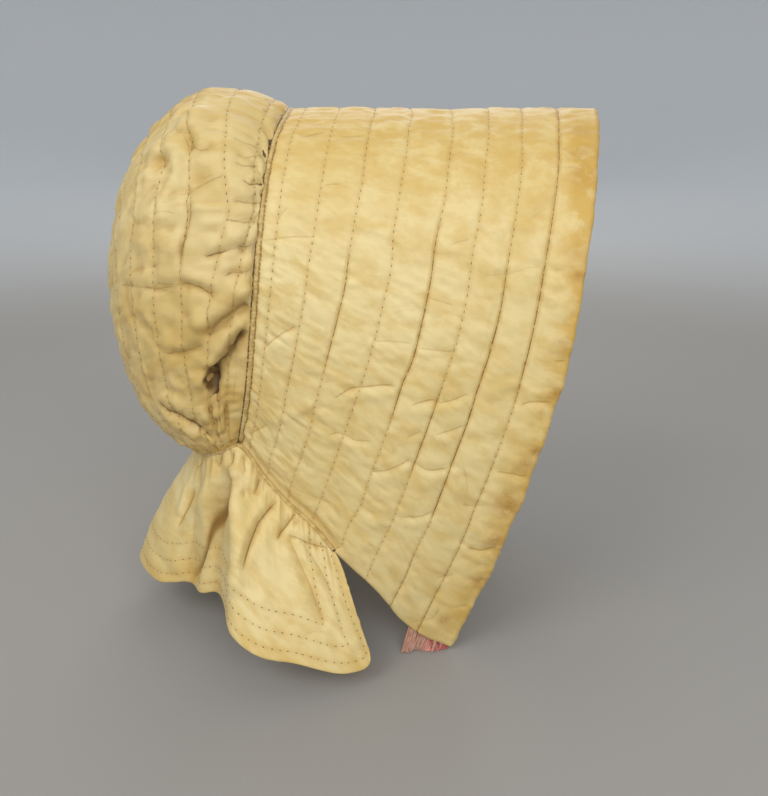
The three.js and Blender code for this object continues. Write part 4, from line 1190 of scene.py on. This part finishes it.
def makeCrown():
    station, arch, fill, sunk = gridOf(crown)
    start = crownStart(station, arch, sunk)
    bend = crown["bend"] * crumple(station * 9, arch * 24, 13) * np.minimum(1, fill + 0.2)
    start = start - gridNormals(start) * bend[..., None]
    sewMiddle(start)
    centre = np.array([-50.0, 0, -90])
    outer = puffed("crown", crown, start, centre + (start - centre) * crown["spare"], True)
    station = finer(station)
    arch = finer(arch)
    fill = np.clip(finer(fill), 0, 1)
    n = -gridNormals(outer)
    folded, creaseShade, creaseSide = bothSides(outer, n, crown["folds"], crownPlace)
    lineRows = 2 * np.cumsum([0] + crown["steps"])
    gap, shade = lineValues(outer, lineRows, crown["shade"], arch)
    fromSeam = distances(outer, 0)
    along = distances(outer, 1)
    fromNape = np.minimum(along, along[:, -1:] - along)
    seamFolds = 1.2 * np.abs(roughness(fromSeam / 40, along / 5.5, 31)) - 0.4
    napeFolds = 1.2 * np.abs(roughness(fromSeam / 4.5, fromNape / 30, 33)) - 0.4
    gathers = crown["gathers"] * np.exp(-fromSeam / 8) * seamFolds * smooth(-1.5, 3, fromSeam)
    gathers += crown["napeGathers"] * np.exp(-fromNape / 9) * napeFolds
    fine = crown["fine"] * crumple(station * 14, arch * 50, 18)
    fine = fine + 0.10 * roughness(station * 60, arch * 150, 19)
    pucker = np.exp(-(gap / 3.2) ** 2) * roughness(station * 30, along / 2.6, 28)
    bumps = crown["bumpHeight"] * reliefSpots(outer, crown["bumps"], crownPlace)
    cave = np.clip(spotField(outer, crown["cave"], crownPlace), 0, 1)
    relief = folded + gathers + fine + crown["pucker"] * pucker + bumps - crown["caveDepth"] * cave
    relief = relief * (0.2 + 0.8 * smooth(0, 4.5, fromSeam))
    relief = relief - (0.10 + 0.7 * shade ** 1.5) * np.exp(-(gap / 0.9) ** 2) * smooth(0, 2, fromSeam)
    sewMiddle(relief)
    outer = outer + n * relief[..., None]
    outer = outer + snugTo(outer[:1], crownCord, cords["crownRadius"]) * smooth(9, 0, fromSeam)[..., None]
    atNeck = smooth(6, 0, fromNape) * smooth(3, 9, fromSeam)
    outer = outer + toNeckCord(outer, arch) * atNeck[..., None]
    sewMiddle(outer)
    inner = crownStart(station, arch, crown["wall"] - crown["groove"] * (1 - fill))
    inner = inner + n * np.minimum(0, blurred(relief, 4) + 1.5)[..., None]
    sewMiddle(inner)
    piece, used = wallMesh("quiltedCrown", outer[:, ::-1], inner[:, ::-1], crownSilk, True)
    n = -gridNormals(outer)
    # golden tone, with painted shade under the bumps
    golden = smooth(0.3, 0.04, np.abs(arch)) * 0.9 + 0.5 * np.exp(-fromNape / 12)
    golden += spotField(outer, crown["shadeUnderBumps"], crownPlace) + 0.45 * smooth(0.45, 0.8, np.abs(arch))
    values = {"lineGap": gap, "lineShade": shade, "hollowShade": hollowness(outer, n), "golden": golden,
              # the opening under the pleat is painted dark as shade through the crease values
              "creaseShade": np.maximum(creaseShade, 1.17 * cave), "creaseSide": creaseSide * (1 - cave),
              "stainAndShade": spotField(outer, crown["spots"], crownPlace)}
    values = {name: value[:, ::-1] for name, value in values.items()}
    across, lengths = crown["cloth"]
    dressSilk(piece, used, values, across * station[:, ::-1], lengths * arch[:, ::-1], True)
    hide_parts("crown")
    # each row's thread is painted darker where its line lies in shade
    rows = [stitchRow(outer[row], n[row], crown["stitch"], number, shade[row] + 0.2)
            for number, row in enumerate(lineRows[1:-1])]
    stitchPiece("crownStitches", rows, brownThread)


curtain = {
    "wall": 1.5, "columns": 300, "rows": 62,
    "gathers": 2.1, "waves": 1.0, "fine": 0.42,   # relief in mm
    "hemRows": [5.5, 15, 26],   # from the hem and the front edge to each row of stitches, mm
    "stitch": {"pitch": 4.5, "length": 1.2, "radius": 0.27, "seed": 300},
    "folds": [  # path in thousandths of along and drop, then width, lift and lean
        ([(-504, 137), (-476, 247), (-424, 371), (-329, 582), (-270, 809), (-217, 1000)], 6.5, -6.0, 0),
        ([(-381, 57), (-326, 244), (-209, 515), (-180, 796), (-169, 967)], 6, 2.6, 0),
        ([(-503, 94), (-503, 197), (-534, 361), (-558, 508), (-554, 689), (-551, 803)], 5, 4.0, 0),
        ([(-184, 258), (-179, 371), (-165, 492), (-155, 595)], 1.7, -1.6, 0),
        ([(-144, 247), (-147, 375), (-139, 505)], 3.5, 1.3, 0),
        ([(-708, 37), (-674, 117), (-649, 187), (-624, 274), (-609, 365), (-594, 455), (-586, 528),
          (-578, 632)], 1.8, -3.0, 0),
        ([(-664, 77), (-624, 194), (-596, 321), (-579, 421), (-576, 505), (-564, 635)], 4.2, 2.2, 0.2),
        ([(-743, 54), (-686, 187), (-653, 304), (-629, 428), (-613, 562)], 6, 1.5, 0),
        ([(-793, 13), (-766, 90), (-745, 151), (-716, 227), (-699, 291)], 1.4, -2.0, 0),
        ([(-751, 204), (-776, 288), (-801, 371), (-823, 472), (-840, 579), (-861, 689)], 3.0, -2.0, 0),
        ([(-775, 167), (-801, 231), (-833, 321), (-860, 441), (-883, 555), (-902, 672)], 4.0, 1.6, 0),
        ([(-736, 251), (-743, 348), (-763, 428), (-786, 532), (-808, 625)], 4.5, 1.4, 0),
        ([(-790, 177), (-835, 224), (-873, 304), (-907, 445)], 3.0, -1.3, 0),
        ([(-743, 207), (-785, 181), (-828, 161), (-878, 127), (-960, 43)], 2.0, -1.5, 0),
        ([(-776, 134), (-836, 94), (-938, 10)], 4, 1.1, 0),
        ([(-553, 194), (-563, 217), (-563, 268)], 4, -1.6, 0),
        ([(-546, 33), (-554, 70), (-566, 117)], 2.2, -1.5, 0),
        ([(-569, 43), (-586, 64), (-589, 124)], 2.4, 1.3, 0),
        ([(-618, 30), (-613, 94), (-599, 171)], 2.0, -1.4, 0),
        ([(-653, 30), (-641, 90), (-623, 161)], 2.2, 1.3, 0),
        ([(-444, 0), (-419, 37), (-377, 114)], 2.0, -1.3, 0),
        ([(-416, 0), (-342, 3), (-294, 90)], 2.2, 1.2, 0),
        ([(-150, 0), (-230, 33), (-167, 151)], 2.0, -1.2, 0),
        ([(-504, 33), (-494, 67), (-491, 114)], 1.8, -2.0, 0),
        ([(-62, 786), (-114, 823), (-170, 903)], 5, -0.8, 0),
        ([(-611, 776), (-648, 666), (-689, 615)], 5, 0.9, 0),
        ([(-763, 843), (-815, 749), (-860, 729)], 4, -0.7, 0),
        ([(-902, 829), (-947, 793), (-997, 719)], 4, 0.9, 0),
    ],
    # painted shade: the shaded valley and two small dark hollows, drawn in the stain colour
    "spots": [  # along, drop, radius and strength: the brown valley and two small marks
        (-0.49, 0.19, 6, 0.75), (-0.465, 0.28, 7, 0.85), (-0.424, 0.39, 7, 0.8), (-0.375, 0.5, 7, 0.7),
        (-0.329, 0.6, 6, 0.55), (-0.29, 0.74, 6, 0.4), (-0.785, 0.085, 1.3, 0.9),
        (-0.775, 0.07, 0.9, 0.8),
    ],
}


def makeCurtain():
    along = np.linspace(-1, 1, curtain["columns"] + 1)
    drop = np.linspace(0, 1, curtain["rows"] + 1)
    along, drop = np.meshgrid(along, drop, indexing="ij")
    outer = curtainFace(along, drop)
    n = gridNormals(outer)
    folded, creaseShade, creaseSide = bothSides(outer, n, curtain["folds"], curtainPlace)
    fromNeck = distances(outer, 1)
    fromHem = fromNeck[:, -1:] - fromNeck
    fromFront = distances(outer, 0)
    edge = np.minimum(fromHem, np.minimum(fromFront, fromFront[-1:] - fromFront))
    run = fromFront[:, :1] + 0 * fromNeck
    gathers = 1.3 * np.abs(roughness(run / 3.6, fromNeck / 40, 41)) - 0.45
    gathers = curtain["gathers"] * np.exp(-fromNeck / 13) * gathers
    waves = curtain["waves"] * roughness(run / 16, fromNeck / 60, 43) * smooth(5, 50, fromNeck)
    fine = curtain["fine"] * crumple(run / 12, fromNeck / 12, 45)
    fine = fine + 0.08 * roughness(run / 2.5, fromNeck / 4, 46)
    relief = (folded + gathers + waves + fine) * (0.35 + 0.65 * smooth(0, 3, fromNeck))
    gap = np.min([np.abs(edge - r) for r in curtain["hemRows"]], axis=0)
    relief = relief - 0.12 * np.exp(-(gap / 0.9) ** 2)
    outer = outer + n * relief[..., None]
    outer = outer + snugTo(outer[:, :1], neckCord, cords["neckRadius"]) * smooth(8, 0, fromNeck)[..., None]
    n = gridNormals(outer)
    piece, used = wallMesh("silkCurtain", outer, outer - n * curtain["wall"], yellowSilk)
    golden = 0.5 * smooth(14, 0, edge) + 0.4 * np.exp(-fromNeck / 10)
    values = {"lineGap": gap, "lineShade": 0 * along, "hollowShade": hollowness(outer, n), "golden": golden,
              "creaseShade": creaseShade, "creaseSide": creaseSide,
              "stainAndShade": spotField(outer, curtain["spots"], curtainPlace)}
    fromFront = distances(outer, 0)
    dressSilk(piece, used, values, fromFront, fromNeck)
    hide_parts("curtain")
    print("curtain area", round(gridArea(outer), 4), "and hem", round(float(fromFront[-1, -1])), "mm")
    rows = []
    for number, level in enumerate(curtain["hemRows"]):
        line, lineNormals = levelLine(outer, n, fromHem, fromFront, level)
        rows.append(stitchRow(line, lineNormals, curtain["stitch"], number, np.full(len(line), 0.75)))
    stitchPiece("curtainStitches", rows, brownThread)


def gridArea(points):
    a = np.cross(points[1:, :-1] - points[:-1, :-1], points[:-1, 1:] - points[:-1, :-1])
    b = np.cross(points[1:, 1:] - points[1:, :-1], points[1:, 1:] - points[:-1, 1:])
    return float((np.linalg.norm(a, axis=-1).sum() + np.linalg.norm(b, axis=-1).sum()) / 2) * mm * mm


def levelLine(points, normals, fromHem, fromFront, level):
    # a row of stitches this far from the near front edge, the hem and the far front edge
    line = []
    fromFarFront = fromFront[-1:] - fromFront

    def crossing(values, i, j):
        return (level - values[i]) / (values[j] - values[i])

    for j in range(2, fromHem.shape[1]):
        i = int(np.searchsorted(fromFront[:, j], level))
        if fromHem[i, j] > level:
            line.append((i - 1 + crossing(fromFront[:, j], i - 1, i), j))
    for i in range(fromHem.shape[0]):
        j = int(np.searchsorted(-fromHem[i], -level))
        if 0 < j < fromHem.shape[1] and fromFront[i, j] > level and fromFarFront[i, j] > level:
            line.append((i, j - 1 + crossing(fromHem[i], j - 1, j)))
    for j in range(fromHem.shape[1] - 1, 1, -1):
        i = int(np.searchsorted(-fromFarFront[:, j], -level))
        if fromHem[min(i, len(fromHem) - 1), j] > level:
            line.append((i - 1 + crossing(fromFarFront[:, j], i - 1, i), j))
    place = np.array(line, float)
    low = np.minimum(np.floor(place).astype(int), np.array(fromHem.shape) - 2)
    share = place - low
    found = []
    for values in (points, normals):
        a = values[low[:, 0], low[:, 1]]
        b = values[low[:, 0] + 1, low[:, 1]]
        c = values[low[:, 0], low[:, 1] + 1]
        found.append(a + (b - a) * share[:, :1] + (c - a) * share[:, 1:])
    return found[0], unit(found[1])


def cordMesh(name, line, radius, material, twist, depth):
    # a covered cord: a tube with a slanting wrinkle in its cover
    run = np.concatenate([[0], np.cumsum(np.linalg.norm(np.diff(line, axis=0), axis=1))])
    s = np.arange(0, run[-1], 0.55)
    centre = np.stack([np.interp(s, run, line[:, k]) for k in range(3)], -1)
    centre = blurred(centre[:, None], 8)[:, 0]
    tangent = unit(np.gradient(centre, axis=0))
    side = unit(np.cross(tangent, [0.0, 0.0, 1.0]))
    other = np.cross(side, tangent)
    sides = 12
    angle = np.linspace(0, 2 * np.pi, sides, endpoint=False)[None]
    wave = np.sin(angle + s[:, None] * 2 * np.pi / twist) + 0.5 * np.sin(angle * 3 - s[:, None] * 2.1)
    r = radius * (1 + depth * wave + 0.05 * roughness(s[:, None] / 4 + 0 * angle, angle, 51))
    ring = side[:, None] * np.cos(angle)[..., None] + other[:, None] * np.sin(angle)[..., None]
    points = centre[:, None] + ring * r[..., None]
    count = len(s)
    index = np.arange(count * sides).reshape(count, sides)
    nextSide = np.roll(index, -1, 1)
    faces = np.stack([index[:-1], nextSide[:-1], nextSide[1:], index[1:]], -1).reshape(-1, 4).tolist()
    faces.append(index[0, ::-1].tolist())
    faces.append(index[-1].tolist())
    return linkMesh(name, points.reshape(-1, 3), faces, material)


def makeCords():
    for name, node, line, radius, twist, depth in [
            ("crownCord", "crown_piping", crownCord, cords["crownRadius"], 2.2, 0.09),
            ("neckCord", "neck_piping", neckCord, cords["neckRadius"], 2.0, 0.08)]:
        cord = cordMesh(name, line, radius + cords["cover"], cordSilk, twist, depth)
        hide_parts(node)


tie = {
    "from": 0.825, "to": 0.995, "end": -311.5, "tuck": 11, "flare": 7.5, "curl": 1.5, "wall": 0.5,
    "ends": 26, "strands": 70, "threadRadius": 0.13, "clear": 0.35,
    "seeds": {-1: 71, 1: 73},
}


def ribbonMaterial():
    made, tree, shader = newMaterial("peachSatin")
    fine = clothNoise(tree, "satin")
    wide = plus(tree, times(tree, clothNoise(tree, "satinWide"), 0.4), pointValue(tree, "worn"))
    colour = blendColours(tree, between(tree, wide, 0.5, 0.95), (0.40, 0.06, 0.07), (0.66, 0.28, 0.17))
    pale = times(tree, between(tree, fine, 0.45, 0.75), 0.6)
    tree.links.new(blendColours(tree, pale, colour, (0.76, 0.40, 0.28)), shader.inputs["Base Color"])
    tree.links.new(plus(tree, times(tree, fine, 0.2), 0.28), shader.inputs["Roughness"])
    shader.inputs["Sheen Weight"].default_value = 0.2
    addBump(tree, shader, fine, 0.4, 0.2)
    return made


def aboveFloor(path):
    path[:, 2] = np.maximum(path[:, 2], tie["end"] + crest + tie["clear"])
    return path


def looseEnds(line, side, random):
    # short threads that curl away from the ribbon's end
    threads = []
    for _ in range(tie["ends"]):
        i = random.uniform(0, 1) * (len(line) - 1)
        start = line[int(i)] * (1 - i % 1) + line[min(int(i) + 1, len(line) - 1)] * (i % 1)
        shift = [random.uniform(-1, 1), side * random.uniform(-0.6, 0.6), random.uniform(0, 9)]
        heading = np.array([random.uniform(-0.6, 0.6), side * random.uniform(-0.2, 0.5), -1.0])
        size = random.uniform(3, 9)
        path = [start + np.array(shift)]
        for _ in range(6):
            heading = unit(heading + np.array([random.uniform(-0.4, 0.4), random.uniform(-0.3, 0.3), 0.05]))
            path.append(path[-1] + heading * size / 6)
        threads.append(tube(aboveFloor(np.array(path)), tie["threadRadius"]))
    return threads


def looseWarp(outer, facing, side, random):
    # warp threads that hang side by side over the rear third of the ribbon
    threads = []
    for k in range(tie["strands"]):
        u = random.uniform(0, 0.42) if k % 4 else random.uniform(0, 0.8)
        i = (1 - u if side < 0 else u) * 40
        low = int(min(i, 39))
        start = outer[low, 8] * (1 - i + low) + outer[low + 1, 8] * (i - low)
        end = outer[low, -1] * (1 - i + low) + outer[low + 1, -1] * (i - low)
        shift = [random.uniform(-1.6, 1.0), side * random.uniform(-0.5, 1.5), random.uniform(-4, 1.5)]
        end = end + np.array(shift)
        share = np.linspace(0, 1, 9)[:, None]
        path = start + (end - start) * share
        path += facing * (0.35 + random.uniform(0, 0.9)) * np.sin(share * 2.4)
        path[:, 0] += 0.5 * np.sin(share[:, 0] * random.uniform(3, 7) + random.uniform(0, 6)) * share[:, 0]
        threads.append(tube(aboveFloor(path), random.uniform(0.14, 0.24)))
    return threads


def makeTie(name, node, side, satin, frayed):
    u, v = np.meshgrid(np.linspace(0, 1, 41), np.linspace(0, 1, 31), indexing="ij")
    depth = tie["from"] + (tie["to"] - tie["from"]) * u
    sides = np.full(u.shape, float(side))
    edge = brimFace(depth, sides)
    along = unit(edge - brimFace(depth, sides * (1 - brim["hem"])))
    n = normalOf(brimFace, depth, sides * 0.996)
    length = (tie["end"] + crest - edge[..., 2]) / along[..., 2]
    fallen = -tie["tuck"] + (tie["tuck"] + length) * v
    lean = tie["flare"] * (np.maximum(0, fallen) / length) ** tie["curl"]
    fold = 0.9 * np.sin(u * 9 + v * 2) * smooth(0.3, 0.8, v) + 0.5 * roughness(u * 6, v * 3, 61)
    outer = edge + along * fallen[..., None] + n * (lean - brim["wall"] - 0.7 + fold)[..., None]
    inner = outer - n * tie["wall"]
    worn = 1 - u
    if side < 0:   # the near tie's grid runs the other way round
        outer = outer[::-1]
        inner = inner[::-1]
        worn = worn[::-1]
    piece, used = wallMesh(name, outer, inner, satin)
    setClothPlace(piece, wallValues(distances(outer, 0), used), wallValues(distances(outer, 1), used))
    setPointValues(piece, "worn", wallValues(worn, used))
    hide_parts(node)
    random = np.random.default_rng(tie["seeds"][side])
    threads = looseEnds(outer[:, -1], side, random)
    threads += looseWarp(outer, n.mean((0, 1)), side, random)
    fray = stitchPiece(name + "Fray", threads, frayed)
    print(name, "area", round(gridArea(outer), 6))


def tube(path, radius):
    tangent = unit(np.gradient(path, axis=0))
    side = unit(np.cross(tangent, [0.3, 1.0, 0.2]))
    other = np.cross(side, tangent)
    points = []
    for k in range(len(path)):
        r = radius * (0.3 if k in (0, len(path) - 1) else 1)
        for a in (0, 2 * math.pi / 3, 4 * math.pi / 3):
            points.append(path[k] + (side[k] * math.cos(a) + other[k] * math.sin(a)) * r)
    faces = []
    for k in range(len(path) - 1):
        for a in range(3):
            b = (a + 1) % 3
            faces.append((3 * k + a, 3 * k + b, 3 * k + 3 + b, 3 * k + 3 + a))
    faces.append((2, 1, 0))
    last = 3 * (len(path) - 1)
    faces.append((last, last + 1, last + 2))
    return points, faces, [0.5] * len(points)


makeBrim()
makeCrown()
makeCurtain()
print("quilted pieces and curtain made")
makeCords()
satin = ribbonMaterial()
frayedSilk = threadMaterial("frayedSilk", (0.80, 0.50, 0.36), (0.62, 0.30, 0.20), 0.45)
makeTie("rightTie", "tie_right", -1, satin, frayedSilk)
makeTie("leftTie", "tie_left", 1, satin, frayedSilk)
print("cords and ties made")


studio = {
    "floorHeight": -0.3068,
    "rings": [(0.4, 0), (0.8, 0), (1.3, 0), (1.7, 0.03), (2.0, 0.12), (2.25, 0.3), (2.4, 0.6),
              (2.45, 1.0), (2.46, 1.8)],   # radius and height above the floor, m
    "floorColour": (0.32, 0.307, 0.288),
    "floorWarm": (0.305, 0.29, 0.27),
    "wallColour": (0.61, 0.628, 0.64),
    "skyColour": (0.93, 0.96, 1.0, 1),
    "skyStrength": 0.64,
    "aim": (0.02, 0, -0.15),
    "lamps": [  # name, place, size, power and colour
        ("keyLight", (-0.85, -1.0, 0.95), 0.9, 9.6, (1.0, 0.98, 0.94)),
        ("frontLight", (0.3, -1.25, 0.45), 1.0, 10.2, (0.97, 0.98, 1.0)),
        ("backLight", (0.1, 1.3, 0.8), 1.1, 7, (1.0, 0.98, 0.95)),
    ],
}


def makeStudio():
    # a round floor whose far edge turns up, so every view has the same plain ground
    rings = studio["rings"]
    sides = 96
    points = []
    faces = [list(range(sides))]
    for r, z in rings:
        for k in range(sides):
            a = 2 * math.pi * k / sides
            points.append((r * math.cos(a), r * math.sin(a), studio["floorHeight"] + z))
    for i in range(len(rings) - 1):
        for k in range(sides):
            m = (k + 1) % sides
            faces.append((i * sides + k, (i + 1) * sides + k, (i + 1) * sides + m, i * sides + m))
    mesh = bpy.data.meshes.new("studioFloor")
    mesh.from_pydata(points, [], faces)
    mesh.polygons.foreach_set("use_smooth", [True] * len(mesh.polygons))
    floor = bpy.data.objects.new("studioFloor", mesh)
    bpy.context.scene.collection.objects.link(floor)
    paper, tree, shader = newMaterial("studioPaper")
    coords = objectPlaces(tree)
    soft = noiseAt(tree, coords, 1.5, 2)
    ground = blendColours(tree, soft, studio["floorColour"], studio["floorWarm"])
    # paler and cooler towards the far edge, as a lit backdrop is
    split = tree.nodes.new("ShaderNodeSeparateXYZ")
    tree.links.new(coords, split.inputs[0])
    flatSquare = times(tree, split.outputs["X"], split.outputs["X"])
    flatSquare = calculate(tree, "MULTIPLY_ADD", split.outputs["Y"], split.outputs["Y"], flatSquare)
    away = between(tree, calculate(tree, "SQRT", flatSquare), 0.75, 2.0)
    tree.links.new(blendColours(tree, away, ground, studio["wallColour"]), shader.inputs["Base Color"])
    shader.inputs["Roughness"].default_value = 0.9
    mesh.materials.append(paper)
    world = bpy.data.worlds.new("studioSky")
    world.use_nodes = True
    sky = world.node_tree.nodes["Background"]
    sky.inputs["Color"].default_value = studio["skyColour"]
    sky.inputs["Strength"].default_value = studio["skyStrength"]
    bpy.context.scene.world = world
    for name, place, size, power, colour in studio["lamps"]:
        data = bpy.data.lights.new(name, "AREA")
        data.size = size
        data.energy = power
        data.color = colour
        lamp = bpy.data.objects.new(name, data)
        lamp.location = place
        lamp.rotation_euler = (Vector(studio["aim"]) - Vector(place)).to_track_quat("-Z", "Y").to_euler()
        bpy.context.scene.collection.objects.link(lamp)
    bpy.context.scene.view_settings.view_transform = "Standard"


makeStudio()
print("studio lit")
